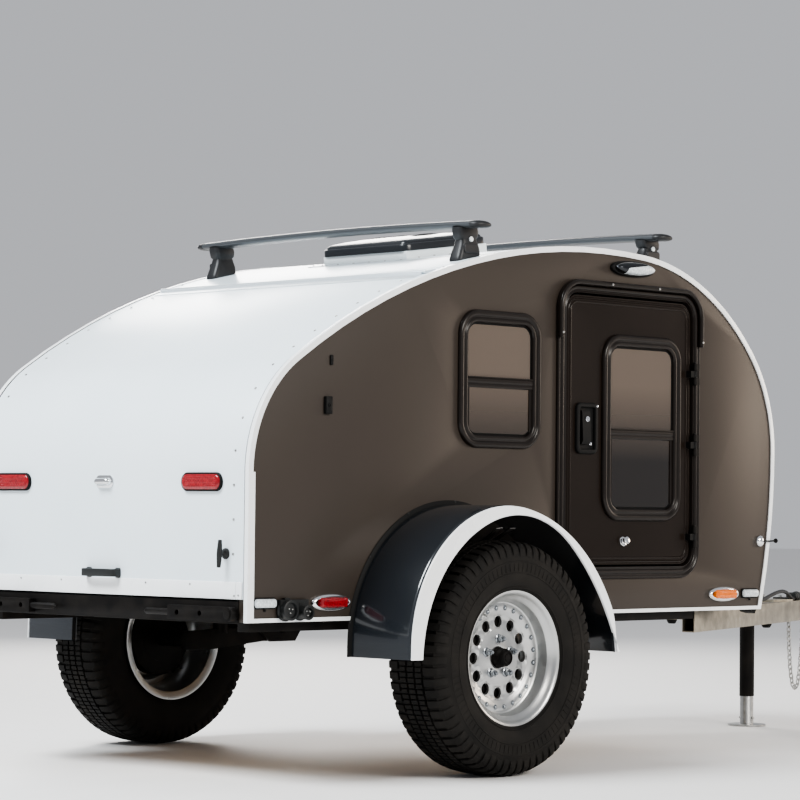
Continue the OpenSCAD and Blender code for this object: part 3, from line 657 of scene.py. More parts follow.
for node, finish, body, bevel in (("frame_rails", "frame_black", "chassis", 0.003),
        ("tongue_frame", "galvanised", "chassis", 0.004), ("coupler", "coupler_black", "chassis", 0.003),
        ("jack_tube", "frame_black", "chassis", 0.0015), ("jack_leg", "zinc", "jack_leg", 0.0015),
        ("suspension_right", "frame_black", "chassis", 0.003), ("suspension_left", "frame_black", "chassis",
        0.003), ("side_wall_right", "bronze_panel", "chassis", 0.0012), ("side_wall_left", "bronze_panel",
        "chassis", 0.0012), ("roof", "white_skin", "chassis", 0.0012),
        ("front_wall", "white_skin", "chassis", 0.0012), ("edge_trims", "white_trim", "chassis", 0.0014),
        ("vent_base", "white_plastic", "chassis", 0.003), ("hatch_hinge", "hinge_alloy", "chassis", 0.001),
        ("hatch_skin", "white_skin", "hatch", 0.0015), ("hatch_core", "hinge_alloy", "hatch", 0.002),
        ("stabiliser_right", "frame_black", "stabiliser_right", 0.003), ("stabiliser_left", "frame_black",
        "stabiliser_left", 0.003), ("bulkhead", "wood", "chassis", 0.001),
        ("galley_counter", "wood", "chassis", 0.003), ("floor", "wood", "chassis", 0.001)):
    dressed(node, finish, body, bevel)


def body_screws():
    """Screws along both edges of the hatch, the roof and the front."""
    hatch, fixed = bmesh.new(), bmesh.new()
    for side in SIDES.values():
        for (x, z), normal in outline_spots(0.100, REAR_X - 0.01, HINGE_X - 0.02):
            if z > HATCH_LOW + 0.02:
                screw(hatch, (x, side * (SKIN_Y - 0.044), z), normal, 0.0042)
        for (x, z), normal in outline_spots(0.120, HINGE_X + 0.05, 10):
            screw(fixed, (x, side * (SKIN_Y - 0.014), z), normal, 0.0038)
    for side in SIDES.values():
        for y, rise in ((0.612, 0.012), (0.594, 0.010), (0.2, 0.040), (0.4, 0.040)):
            screw(hatch, (REAR_X - 0.0028, side * y, HATCH_LOW + rise), (-1, 0, 0), 0.0034)
    add("hatch_screws", hatch, "zinc", "hatch")
    add("skin_screws", fixed, "zinc", "chassis")


def hatch_hinge_leaf():
    """The hinge's moving leaf, a rolled strip along the hatch's top edge."""
    bm = bmesh.new()
    line = [p for p in body_line() if HINGE_X - 0.12 < p[0] < HINGE_X + 0.05]
    slope = atan2(line[-1][1] - line[0][1], line[-1][0] - line[0][0])
    z = roof_height(HINGE_X)
    section = mm((-46, 0.4), (-46, 1.6), (-20, 1.9), (-12, 3.5), (-7.5, 8.5), (-5.5, 8.5), (-7.5, 3),
            (-10, 0.4))
    reach = SKIN_Y - 0.016
    rows = []
    for y in (-reach, reach):
        rows.append([(HINGE_X + a * cos(slope) - h * sin(slope), y, z + a * sin(slope) + h * cos(slope))
                for a, h in section])
    close_ends(bm, loft(bm, rows))
    add("hatch_hinge_leaf", bm, "hinge_alloy", "hatch")


def hatch_seals():
    """A dark seal in the gap down each side of the hatch."""
    line = [p for p in body_line(0.0045) if p[0] < HINGE_X - 0.012 and p[1] > HATCH_LOW]
    for name, side in SIDES.items():
        bm = bmesh.new()
        tube(bm, [(x, side * (SKIN_Y + 0.0026), z) for x, z in line], 0.0019, 8)
        add("hatch_seal_" + name, bm, "seal_black", "chassis", crease=60)


body_screws()
hatch_seals()
hatch_hinge_leaf()


# ---- Fenders ----
def fender(name, side):
    centre = middle("tyre_" + name)
    outer_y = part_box("fender_right")[0].y * -1
    start_x, start_z = centre.x - 0.462, BODY_Z - 0.109
    section = ((WALL_Y + 0.0005, 0), (outer_y - 0.012, 0), (outer_y - 0.005, 0.0018),
            (outer_y - 0.0012, 0.006), (outer_y, 0.012), (outer_y - 0.0035, 0.012),
            (outer_y - 0.0045, 0.008), (outer_y - 0.008, 0.0052), (outer_y - 0.013, 0.004),
            (WALL_Y + 0.0005, 0.004))

    def arch(section, piece, finish, stands_for=()):
        """A strip of one (y, inset) section all along the arch."""
        bm = bmesh.new()
        loops = [[(x, side * y, z) for x, z in walk(FENDER_WALK, start_x + inset, start_z, 88.9, inset,
                3.0)]
                 for y, inset in section]
        close_sides(bm, loft(bm, loops, closed_rows=False, closed_across=True))
        add(piece, bm, finish, "chassis", stands_for, 50)

    arch(section, "fender_%s_shell" % name, "fender_paint", ["fender_" + name])
    seal = ((WALL_Y + 0.0004, 0.0005), (WALL_Y + 0.0004, -0.0125), (WALL_Y + 0.002, -0.0140),
            (WALL_Y + 0.0036, -0.0125), (WALL_Y + 0.0055, -0.003), (WALL_Y + 0.009, -0.0006),
            (WALL_Y + 0.009, 0.0005))
    arch(seal, "fender_seal_" + name, "seal_black")
    bm = bmesh.new()
    count = 90
    outer = along(walk(FENDER_WALK, start_x + 0.0015, start_z, 88.9, 0.0015), count)
    inner = along(walk(LIP_WALK, centre.x - 0.410, start_z, 86.6), count)
    section = ((0.02, -0.001), (0.0, 0.0015), (0.04, 0.0036), (0.12, 0.004), (0.86, 0.004), (0.95, 0.0034),
            (1.0, 0.001), (1.0, -0.004), (0.93, -0.004), (0.9, -0.001))
    loops = [[(a[0] + (b[0] - a[0]) * t, side * (outer_y + h), a[1] + (b[1] - a[1]) * t)
            for a, b in zip(outer, inner)] for t, h in section]
    close_sides(bm, loft(bm, loops, closed_rows=False, closed_across=True))
    add("fender_lip_" + name, bm, "white_trim", "chassis", ["fender_edges"], 50)
    bm = bmesh.new()
    for k in range(7):
        x, z = along(walk(FENDER_WALK, start_x, start_z, 88.9), 15)[2 * k + 1]
        drop = Vector((x - centre.x, 0, z - centre.z)).normalized() * 0.010
        screw(bm, (x + drop.x, side * (WALL_Y + 0.0032), z + drop.z), (0, side, 0), 0.0045)
    add("fender_screws_" + name, bm, "black_plastic", "chassis")
    bm = bmesh.new()
    for ahead in (-0.03, 0.03):
        a = Vector((centre.x - 0.02 + ahead, side * (outer_y - 0.030), centre.z + 0.395))
        b = Vector((centre.x + 0.05 + 0.4 * ahead, side * (WALL_Y + 0.001), centre.z + 0.310))
        along_it = (b - a).normalized()
        wide = Vector((1, 0, 0)) - along_it * along_it.x
        wide.normalize()
        thick = along_it.cross(wide) * 0.0015
        close_ends(bm, loft(bm, [[q + wide * 0.011 + thick, q - wide * 0.011 + thick,
                q - wide * 0.011 - thick, q + wide * 0.011 - thick]
                for q in (a, a.lerp(b, 0.33), a.lerp(b, 0.66), b)]))
    add("fender_braces_" + name, bm, "coupler_black", "chassis", crease=40)


for fender_name, fender_side in SIDES.items():
    fender(fender_name, fender_side)


# ---- Doors and windows ----
DOOR_CX = REAR_X + 1.336 + 0.364
DOOR_CZ = BODY_Z + 0.113 + 0.485
DOOR_SIZE = (0.728, 0.970)
DOOR_R = 0.095
FLANGE = 0.040
LEAF_SIZE = (DOOR_SIZE[0] - 0.090, DOOR_SIZE[1] - 0.090)
SASH = (DOOR_CX + 0.061, BODY_Z + 0.610)
SASH_SIZE = (0.403, 0.614)
WINDOW = (REAR_X + 1.066, BODY_Z + 0.745)
WINDOW_SIZE = (0.381, 0.433)
WINDOW_R = 0.082
HINGE_LINE = (DOOR_CX + DOOR_SIZE[0] / 2 - 0.0425, WALL_Y + 0.020)
HINGE_HEIGHTS = [BODY_Z + rise for rise in (0.250, 0.560, 0.800)]

FRAME_SECTION = mm((0, -1), (0, 5.5), (1.8, 9), (5, 10.5), (9, 9.8), (11.5, 6.8), (14.5, 6.8), (16.5, 9.5),
        (20, 12.2), (25.5, 12.2), (28.5, 9.5), (30.5, 6.6), (33.5, 6.6), (35.5, 9.2), (38.5, 10), (40, 7.8),
        (40, -39.5), (25.5, -39.5), (25.5, -1))
GUTTER_SECTION = mm((-2, 4), (-4, 12), (-3, 20), (1, 25.5), (7, 26.5), (12, 23.5), (14.5, 17.5), (13.5, 11),
        (10, 7))
SASH_SECTION = mm((0, -1), (0.5, 5.5), (4, 10.5), (10, 12.5), (16, 11.8), (19.5, 8.8), (21.5, 6.5),
        (23.5, 6.5), (26, 8.8), (30, 11.2), (35, 10.8), (38.5, 7), (40, 1), (40, -4), (27, -6))


def door_frame(name, side):
    bm = bmesh.new()
    ring(bm, (DOOR_CX, DOOR_CZ), DOOR_SIZE, DOOR_R, FRAME_SECTION, side, WALL_Y, 14)
    top = DOOR_CZ + DOOR_SIZE[1] / 2
    foot = top - 0.190
    n = 14
    loops = []
    for inset, height in GUTTER_SECTION:
        arc = rounded(DOOR_CX, DOOR_CZ, DOOR_SIZE[0] - 2 * inset, DOOR_SIZE[1] - 2 * inset, DOOR_R - inset,
                n)
        line = [(arc[0][0], foot)] + arc[:2 * n + 2] + [(arc[2 * n + 1][0], foot)]
        loops.append([(x, side * (WALL_Y + height), z) for x, z in line])
    close_sides(bm, loft(bm, loops, closed_rows=False, closed_across=True))
    add("door_frame_" + name, bm, "dark_bronze", "chassis", ["door_frames"], 55)
    bm = bmesh.new()
    for x in (DOOR_CX - 0.115, DOOR_CX + 0.125):
        screw(bm, (x, side * (WALL_Y + 0.0262), top - 0.006), (0, side, 0.12), 0.0042)
    for x in (-1, 1):
        screw(bm, (DOOR_CX + x * (DOOR_SIZE[0] / 2 - 0.006), side * (WALL_Y + 0.026), foot + 0.016),
                (0, side, 0), 0.004)
    add("gutter_screws_" + name, bm, "zinc", "chassis")


def door_hinges(name, side):
    """Three hinges: outer knuckles and pins stay on the frame, middle knuckles go with the door."""
    still, moving = bmesh.new(), bmesh.new()
    x, y = HINGE_LINE[0], side * HINGE_LINE[1]
    for z in HINGE_HEIGHTS:
        for low in (-0.036, 0.012):
            turned(still, [(0, low), (0.0068, low), (0.0080, low + 0.0012), (0.0080, low + 0.0228),
                    (0.0068, low + 0.024), (0, low + 0.024)], (x, y, z), (0, 0, 1), 24)
            box(still, (x + 0.0025, side * (WALL_Y + 0.0095), z + low),
                    (x + 0.0225, side * (WALL_Y + 0.0225), z + low + 0.024))
        turned(still, mm((0, 36), (5.8, 36), (5.2, 39.5), (0, 41)), (x, y, z), (0, 0, 1), 20)
        turned(moving, mm((4.2, -11), (6.8, -11), (8, -9.8), (8, 9.8), (6.8, 11), (4.2, 11)), (x, y, z),
                (0, 0, 1), 24)
        box(moving, (x - 0.026, side * (WALL_Y + 0.0015), z - 0.011), (x - 0.004, side * (WALL_Y + 0.0245),
                z + 0.011))
    soften(still, 0.0008)
    soften(moving, 0.0008)
    add("hinge_knuckles_" + name, still, "frame_black", "chassis", ["door_frames"], 40)
    add("hinge_straps_" + name, moving, "seal_black", "door_" + name, crease=40)


def door_leaf(name, side):
    bm = bmesh.new()
    leaf_r = DOOR_R - FLANGE
    outer = mm((0, -36), (0, -0.5), (1.2, 1.8), (6, 2), (8, 4.6), (11.5, 5.2), (13.5, 3), (14.5, 1.6),
            (18.5, 1.6), (19.5, 3.4), (22.5, 4.2), (25.5, 3.4), (27, 1), (34, 0.6))
    hole = mm((15.5, 0.6), (25, 0.6), (25, -36), (12, -36))
    rows = []
    for inset, height in outer:
        outline = rounded(DOOR_CX, DOOR_CZ, LEAF_SIZE[0] - 2 * inset, LEAF_SIZE[1] - 2 * inset,
                max(leaf_r - inset, 0.012), 12)
        rows.append([(x, side * (WALL_Y + height), z) for x, z in outline])
    for inset, height in hole:
        outline = rounded(SASH[0], SASH[1], SASH_SIZE[0] - 2 * inset, SASH_SIZE[1] - 2 * inset,
                WINDOW_R - inset, 12)
        rows.append([(x, side * (WALL_Y + height), z) for x, z in outline])
    loft(bm, rows, closed_across=True)
    add("door_leaf_" + name, bm, "door_paint", "door_" + name, ["door_" + name], 50)


def latch(name, side):
    """Paddle latch: a housing with a deep pan, the paddle in it and a chrome key barrel."""
    cx, cz = DOOR_CX - 0.219, BODY_Z + 0.603
    base = WALL_Y + 0.0006
    bm = bmesh.new()
    ring(bm, (cx, cz), (0.104, 0.166), 0.020, mm((0, 0), (0, 7), (2.5, 10.5), (8, 12), (13, 11.5), (15, 9),
            (15.5, 1.2), (10, 0)), side, base, 8)
    cap(bm, ring(bm, (cx, cz), (0.076, 0.138), 0.010, ((0, 0.0012), (0.002, 0.0010)), side, base, 8,
            False)[-1])
    paddle = [(-0.030, 0.050, 0.013), (-0.030, 0.058, 0.009), (0.010, 0.058, 0.009), (0.010, 0.050, 0.013)]
    low = [(-0.030, -0.040, 0.017), (-0.030, -0.052, 0.010), (0.010, -0.052, 0.010), (0.010, -0.040, 0.017)]
    front = [[(cx + x, side * (base + h), cz + z) for x, z, h in (paddle[1], paddle[0], low[0], low[1])],
            [(cx + x, side * (base + h), cz + z) for x, z, h in (paddle[2], paddle[3], low[3], low[2])]]
    back = [[(p[0], side * (base + 0.002), p[2]) for p in row] for row in front]
    close_ends(bm, loft(bm, [back[0], front[0], front[1], back[1]]))
    soften(bm, 0.0015, 2, 50)
    add("latch_" + name, bm, "seal_black", "door_" + name, crease=40)
    bm = bmesh.new()
    turned(bm, mm((9.5, 0), (9.5, 6), (8.5, 7.2), (4.5, 7.2), (4, 6.2), (0, 6.2)),
            (cx - 0.006, side * (base + 0.010), cz + 0.030), (0, side, 0), 24)
    screw(bm, (cx + 0.024, side * (base + 0.0012), cz - 0.050), (0, side, 0), 0.0065)
    screw(bm, (cx + 0.0475, side * (base + 0.010), cz + 0.073), (0, side, 0), 0.0045)
    knob = (DOOR_CX - 0.028, side * (WALL_Y + 0.0006), BODY_Z + 0.235)
    turned(bm, mm((16.5, 0), (16.5, 3), (15, 4.5), (9.5, 5.5), (7.5, 7.5), (7, 12), (9, 15), (12.5, 17),
            (13, 20), (11, 22.8), (6, 24.2), (0, 24.5)), knob, (0, side, 0.25), 28)
    add("latch_chrome_" + name, bm, "chrome", "door_" + name, crease=30)


def window_frame(side, at, size, lift, bar_drop, body, node):
    """A rounded window frame with its meeting rail and the lower sliding pane's own thin frame."""
    wall = WALL_Y + lift
    bm = bmesh.new()
    ring(bm, at, size, WINDOW_R, SASH_SECTION, side, wall, 12)
    half = size[0] / 2 - 0.0395
    z = at[1] + bar_drop
    rail = mm((-17, 0.5), (-17, 4.5), (-15, 6.2), (-7.5, 6.6), (-6, 5), (-4, 5), (-2.5, 6.8), (9.5, 7.2),
            (11.5, 6), (13, 8.5), (16.5, 8), (17.2, 0.5))
    close_ends(bm, loft(bm, [[(at[0] + x, side * (wall + h), z + dz) for dz, h in rail]
            for x in (-half, half)]))
    bottom = at[1] - size[1] / 2 + 0.040
    for x in (-half + 0.0035, half - 0.0075):
        box(bm, (at[0] + x - 0.0055, side * (wall + 0.0002), bottom + 0.012),
                (at[0] + x + 0.0075, side * (wall + 0.0028), z - 0.01))
    add(node + "_shape", bm, "dark_bronze", body, ["window_frames"] if body == "chassis" else [node], 50)
    bm = bmesh.new()
    for height, inset in ((0.0012, 0.0405), (0.0004, 0.0425)):
        ring(bm, at, size, WINDOW_R, ((inset, height), (inset + 0.0028, height + 0.0012),
                (inset + 0.004, height - 0.001)), side, wall, 12, False)
    add(node + "_seal", bm, "seal_black", body, crease=40)


for door_name, door_side in SIDES.items():
    door_frame(door_name, door_side)
    door_hinges(door_name, door_side)
    door_leaf(door_name, door_side)
    latch(door_name, door_side)
    window_frame(door_side, SASH, SASH_SIZE, 0.002, -0.020, "door_" + door_name, "door_sash_" + door_name)
    window_frame(door_side, WINDOW, WINDOW_SIZE, 0, -0.010, "chassis", "side_window_" + door_name)


def repaint(node, finish):
    """Gives a CAD node's own mesh a finish."""
    for place in frame["nodes"][node].material_slots:
        place.material = MATERIALS[finish]


for pane in ("window_glass", "door_glass_right", "door_glass_left"):
    repaint(pane, "tinted_glass")


# ---- Lamps and inlets on the sides ----
def lens(bm, place, centre, size, radius, heights):
    """A closed dome with a small shoulder, up to the last height."""
    low, shoulder, top = heights
    cap(bm, stack(bm, place, centre, size, radius,
            ((0, low), (0, shoulder), (0.0012, shoulder + 0.35 * (top - shoulder)),
            (0.004, shoulder + 0.75 * (top - shoulder)), (0.008, top)), 8)[-1])


def marker_lamp(name, side, x, finish):
    """A chrome oval bezel round a ribbed lens."""
    centre = (REAR_X + x, BODY_Z + 0.055)
    bm = bmesh.new()
    ring(bm, centre, (0.161, 0.052), None, mm((0, 0), (0, 4), (2.2, 8.5), (6.5, 12), (10, 12.5), (12.5, 10),
            (13.5, 4), (13.5, 0)), side, WALL_Y)
    add("marker_bezel_" + name, bm, "chrome", "chassis", ["side_lamps"], 50)
    bm = bmesh.new()
    place = on_wall(side, WALL_Y)
    lens(bm, place, (centre[0] + 0.004, centre[1]), (0.112, 0.030), 0.006, (0.001, 0.012, 0.0205))
    for k in range(9):
        lens(bm, place, (centre[0] + 0.004 + 0.0105 * (k - 4), centre[1]), (0.0045, 0.022), 0.002,
                (0.015, 0.0195, 0.0215))
    add("marker_lens_" + name, bm, finish, "chassis", crease=50)


def corner_lamp(name, side, x, z):
    centre = (REAR_X + x, BODY_Z + z)
    bm = bmesh.new()
    cap(bm, ring(bm, centre, (0.090, 0.033), 0.008, mm((0, 0), (0, 3), (2, 5), (6, 5)), side, WALL_Y, 8,
            False)[-1])
    turned(bm, [(0.0035, 0.001), (0.0035, 0.006), (0, 0.007)],
            (centre[0], side * WALL_Y, centre[1] - 0.021), (0, side, 0), 12)
    add("corner_base_" + name, bm, "seal_black", "chassis", crease=50)
    bm = bmesh.new()
    lens(bm, on_wall(side, WALL_Y), centre, (0.084, 0.026), 0.010, (0.001, 0.009, 0.016))
    add("corner_lens_" + name, bm, "clear_lens", "chassis", crease=50)


def porch_lamp(name, side):
    centre = (REAR_X + 1.706, BODY_Z + 1.137)
    place = on_wall(side, WALL_Y)
    bm = bmesh.new()
    cap(bm, ring(bm, centre, (0.215, 0.052), None, mm((0, 0), (0, 10), (2, 14), (6, 15)), side, WALL_Y, 12,
            False)[-1])
    add("porch_base_" + name, bm, "seal_black", "chassis", crease=50)
    bm = bmesh.new()
    dome_section = mm((4, 12), (4.5, 20), (8, 28), (13, 32.5), (19, 34.5))
    cap(bm, stack(bm, place, centre, (0.200, 0.050), None, dome_section)[-1])
    add("porch_lens_" + name, bm, "clear_lens", "chassis", crease=50)
    bm = bmesh.new()
    for raise_by, at, facing in ((0.0012, (centre[0], 0, centre[1] + 0.006), (0.14, 0, -1)),
            (0.0014, (centre[0] - 0.050, 0, centre[1]), (1, 0, -0.35))):
        part = bmesh.new()
        hood_section = [(inset - 0.001, height + raise_by) for inset, height in dome_section]
        cap(part, stack(part, place, centre, (0.200, 0.050), None, hood_section)[-1])
        bmesh.ops.bisect_plane(part, geom=part.verts[:] + part.edges[:] + part.faces[:], plane_co=at,
                plane_no=facing, clear_outer=True)
        half = bpy.data.meshes.new("hood_part")
        part.to_mesh(half)
        part.free()
        bm.from_mesh(half)
    add("porch_hood_" + name, bm, "hood_chrome", "chassis", crease=50)
    bm = bmesh.new()
    for k in range(13):
        x = centre[0] - 0.036 + 0.0095 * k
        reach = 0.018 * sqrt(max(0.05, 1 - ((x - centre[0]) / 0.094) ** 2))
        tube(bm, [(x, side * (WALL_Y + 0.0335 - 0.9 * ((x - centre[0]) / 1.2) ** 2 - 9 * z * z),
                centre[1] + z) for z in (-reach, -0.5 * reach, 0, 0.005)], 0.0013, 6)
    add("porch_ribs_" + name, bm, "clear_lens", "chassis", crease=60)


def power_inlets():
    """Two round weatherproof inlets under their spring caps, on the right side only."""
    side = SIDES["right"]
    bm, pins = bmesh.new(), bmesh.new()
    for x, z, r, reach in ((0.146, 0.035, 0.033, 0.034), (0.205, 0.028, 0.025, 0.046)):
        at = (REAR_X + x, side * (WALL_Y + 0.0005), BODY_Z + z)
        turned(bm, [(0, 0.004), (r, 0.0045), (r, 0.008), (r - 0.003, 0.011), (r - 0.005, 0.013),
                (r - 0.005, reach - 0.006), (r - 0.003, reach - 0.004), (r - 0.003, reach - 0.001),
                (r - 0.005, reach), (r - 0.010, reach), (r - 0.012, reach - 0.008), (0.006, reach - 0.008),
                (0, reach - 0.007)], at, (0, side, 0), 32)
        for k in range(3):
            a = 2 * pi * k / 3 + 0.4
            at_pin = (at[0] + 0.008 * cos(a), at[1] + side * (reach - 0.009), at[2] + 0.008 * sin(a))
            turned(pins, [(0.0020, 0), (0.0020, 0.006), (0, 0.007)], at_pin, (0, side, 0), 10)
        box(bm, (at[0] - 0.010, at[1] + side * 0.004, at[2] + r - 0.008),
                (at[0] + 0.010, at[1] + side * 0.016, at[2] + r + 0.003))
    box(bm, (REAR_X + 0.118, side * WALL_Y, BODY_Z + 0.013), (REAR_X + 0.232, side * (WALL_Y + 0.0155),
            BODY_Z + 0.066))
    soften(bm, 0.0012, 2, 60)
    add("inlet_bodies", bm, "black_plastic", "chassis", ["power_inlets"], 40)
    add("inlet_pins", pins, "zinc", "chassis")


def door_catch(name, side):
    """A round stay for the open door, beside the front edge, with its rod."""
    bm = bmesh.new()
    at = (REAR_X + 2.407, side * WALL_Y, BODY_Z + 0.236)
    turned(bm, mm((20, 0), (20, 4), (18, 8), (12, 12.5), (6, 14.5), (0, 15)), at, (0, side, 0), 28)
    add("door_catch_" + name, bm, "chrome", "chassis")
    bm = bmesh.new()
    tube(bm, [(at[0] + 0.006, at[1] + side * 0.013, at[2]), (at[0] + 0.040, at[1] + side * 0.014, at[2]),
            (at[0] + 0.076, at[1] + side * 0.012, at[2] + 0.001)], 0.0028, 10)
    turned(bm, mm((3, 0), (7.5, 3), (8.5, 7), (6, 11), (0, 12)), (at[0] + 0.072, at[1] + side * 0.012,
            at[2] + 0.001), (1, 0, 0.05), 16)
    add("door_catch_rod_" + name, bm, "seal_black", "chassis")


for lamp_name, lamp_side in SIDES.items():
    marker_lamp("rear_" + lamp_name, lamp_side, 0.334, "red_lens")
    marker_lamp("front_" + lamp_name, lamp_side, 2.204, "amber_lens")
    corner_lamp("rear_" + lamp_name, lamp_side, 0.067, 0.056)
    corner_lamp("front_" + lamp_name, lamp_side, 2.350, 0.056)
    porch_lamp(lamp_name, lamp_side)
    door_catch(lamp_name, lamp_side)
power_inlets()


def side_hangers():
    """Two small black hangers near the rear edge of the right side."""
    side = SIDES["right"]
    bm = bmesh.new()
    for x, z, w, h, reach in ((0.327, 1.250, 0.011, 0.030, 0.006), (0.312, 1.115, 0.026, 0.052, 0.012)):
        cap(bm, ring(bm, (REAR_X + x, z), (w, h), 0.003, ((0, 0.0004), (0, reach - 0.001), (0.001, reach)),
                side, WALL_Y, 4, False)[-1])
        screw(bm, (REAR_X + x, side * (WALL_Y + reach), z), (0, side, 0), min(w, h) * 0.22)
    add("side_hangers", bm, "seal_black", "chassis", crease=50)


side_hangers()


# ---- Hatch fittings ----
def on_hatch(y, z, height):
    return (REAR_X - height, y, z)


def tail_lamp(name, side):
    centre = (side * 0.448, BODY_Z + 0.408)
    bm = bmesh.new()
    stack(bm, on_hatch, centre, (0.178, 0.056), 0.027, mm((0, 0), (0, 6), (1.5, 8.5), (4, 9), (5.5, 7),
            (5.5, 0)), 10, True)
    add("tail_lamp_bezel_" + name, bm, "seal_black", "hatch", ["tail_lamps"], 50)
    bm = bmesh.new()
    cap(bm, stack(bm, on_hatch, centre, (0.168, 0.046), 0.022, mm((0, 1), (0, 8), (1.5, 10.5), (5, 12),
            (10, 12.5)), 10)[-1])
    for column in range(12):
        for row in range(3):
            dome(bm, on_hatch(centre[0] + 0.0115 * (column - 5.5), centre[1] + 0.0115 * (row - 1), 0.0124),
                    (-1, 0, 0), 0.0044, 0.0010, 10)
    add("tail_lamp_lens_" + name, bm, "red_lens", "hatch", crease=50)


def tee_handle(name, side):
    y, z = side * 0.553, BODY_Z + 0.199
    bm = bmesh.new()
    turned(bm, mm((16.5, 0), (16.5, 3), (14.5, 6.5), (10.5, 9.5), (7.2, 12), (6.2, 18), (6.8, 23.5),
            (0, 24)), (REAR_X, y, z), (-1, 0, 0), 28)
    bar = mm((4, -40.5), (5.8, -39.5), (6.6, -30), (7.8, -12), (8.4, 0), (7.8, 12), (6.6, 30), (5.8, 39.5),
            (4, 40.5))
    turned(bm, [(0, -0.0412)] + bar + [(0, 0.0412)], (REAR_X - 0.0255, y, z), (0, side * 0.06, 1), 20)
    add("tee_handle_" + name, bm, "black_plastic", "hatch", crease=50)


def grab_handle():
    """A bowed pull with a rounded section between two feet."""
    bm = bmesh.new()
    z = HATCH_LOW + 0.066
    path = smooth_line([(0.001, -0.074, 0), (-0.010, -0.074, 0), (-0.022, -0.071, 0), (-0.028, -0.060, 0),
            (-0.0295, -0.030, 0), (-0.0300, 0, 0), (-0.0295, 0.030, 0), (-0.028, 0.060, 0),
            (-0.022, 0.071, 0), (-0.010, 0.074, 0), (0.001, 0.074, 0)], 4)
    loops = []
    for a, b, c in zip([path[0]] + path, path, path[1:] + [path[-1]]):
        t = (c - a).normalized()
        across = Vector((-t.y, t.x, 0))
        section = rounded(0, 0, 0.0110, 0.0235, 0.0035, 3)
        loops.append([(REAR_X + b.x + across.x * u, b.y + across.y * u, z + v) for u, v in section])
    loft(bm, loops)
    for y in (-0.068, 0.068):
        cap(bm, stack(bm, on_hatch, (y, z), (0.024, 0.030), 0.006, ((0, 0), (0, 0.003), (0.002, 0.005)),
                4)[-1])
    add("grab_handle", bm, "black_plastic", "hatch", ["hatch_fittings"], 50)


def plate_lamp():
    bm = bmesh.new()
    centre = (0, BODY_Z + 0.409)
    cap(bm, stack(bm, on_hatch, centre, (0.082, 0.038), 0.018, mm((0, 0), (0, 3), (3, 4.5), (7, 5), (8, 11),
            (10, 16.5), (13.5, 20.5), (16.5, 21.5)), 10)[-1])
    add("plate_lamp_shell", bm, "chrome", "hatch", crease=50)
    bm = bmesh.new()
    lens(bm, lambda u, v, h: (REAR_X - 0.012 - (v - centre[1]), u, centre[1] - 0.008 - h), (0, centre[1]),
            (0.040, 0.011), 0.004, (0, 0.003, 0.005))
    add("plate_lamp_lens", bm, "clear_lens", "hatch", crease=50)


def kick_strip():
    """The folded aluminium strip along the hatch's bottom edge, with a short end piece at each corner."""
    low = HATCH_LOW
    bm = bmesh.new()
    reach = SKIN_Y - 0.003
    section = mm((-0.2, 0.5), (-2.4, 0.5), (-3.2, 3), (-3.2, 47.5), (-2.6, 50), (-1.4, 51.2), (-0.2, 51.2))
    for start, end in ((-reach, -0.6015), (-0.600, 0.600), (0.6015, reach)):
        close_ends(bm, loft(bm, [[(REAR_X + x, y, low + z) for x, z in section] for y in (start, end)]))
    add("kick_strip", bm, "white_trim", "hatch", crease=40)


for hatch_name, hatch_side in SIDES.items():
    tail_lamp(hatch_name, hatch_side)
    tee_handle(hatch_name, hatch_side)
grab_handle()
plate_lamp()
kick_strip()


# ---- Roof gear ----
BAR_PLACES = ((REAR_X + 0.977, BODY_Z + 1.229), (REAR_X + 1.873, BODY_Z + 1.253))
BAR_LENGTH = 1.336
BAR_ARCH = 0.011
FOOT_Y = WALL_Y - 0.072


def roof_bar(name, x, z):
    """An arched wing-shaped bar with a rubber strip along its top and a pointed cap at each end."""
    half, thick = 0.040, 0.024
    wing = ((-1, 0.42), (-0.97, 0.62), (-0.86, 0.80), (-0.62, 0.94), (-0.28, 1.0), (0.10, 1.0),
            (0.46, 0.93), (0.78, 0.78), (0.95, 0.60), (1, 0.44), (0.95, 0.26), (0.78, 0.12), (0.45, 0.03),
            (0.05, 0), (-0.35, 0), (-0.66, 0.05), (-0.88, 0.16), (-0.98, 0.30))

    def row(y, scale=1.0, lift=0.0):
        drop = BAR_ARCH * (2 * y / BAR_LENGTH) ** 2
        return [(x + half * u * scale, y, z - drop + lift + thick * (0.5 + (v - 0.5) * scale))
                for u, v in wing]

    body_end = BAR_LENGTH / 2 - 0.034
    bm = bmesh.new()
    loft(bm, [row(-body_end + 2 * body_end * k / 24) for k in range(25)])
    add("bar_%s_wing" % name, bm, "bar_silver", "chassis", ["roof_bars"], 40)
    caps = bmesh.new()
    for end in (-1, 1):
        rows = loft(caps, [row(end * (body_end - 0.004), 1.02), row(end * body_end, 1.03),
                row(end * (body_end + 0.014), 1.0), row(end * (body_end + 0.025), 0.84),
                row(end * (body_end + 0.032), 0.55), row(end * (body_end + 0.034), 0.2)])
        cap(caps, rows[-1])
        cap(caps, rows[0])
    strip = []
    for k in range(25):
        y = -body_end + 0.006 + (2 * body_end - 0.012) * k / 24
        top = z - BAR_ARCH * (2 * y / BAR_LENGTH) ** 2 + thick
        strip.append([(x + u, y, top + v) for u, v in mm((-12, -2), (-11, 0.7), (-3, 0.2), (0, 0.9),
                (3, 0.2), (9, 0.6), (10, -2))])
    loft(caps, strip)
    add("bar_%s_caps" % name, caps, "bar_black", "chassis", crease=50)


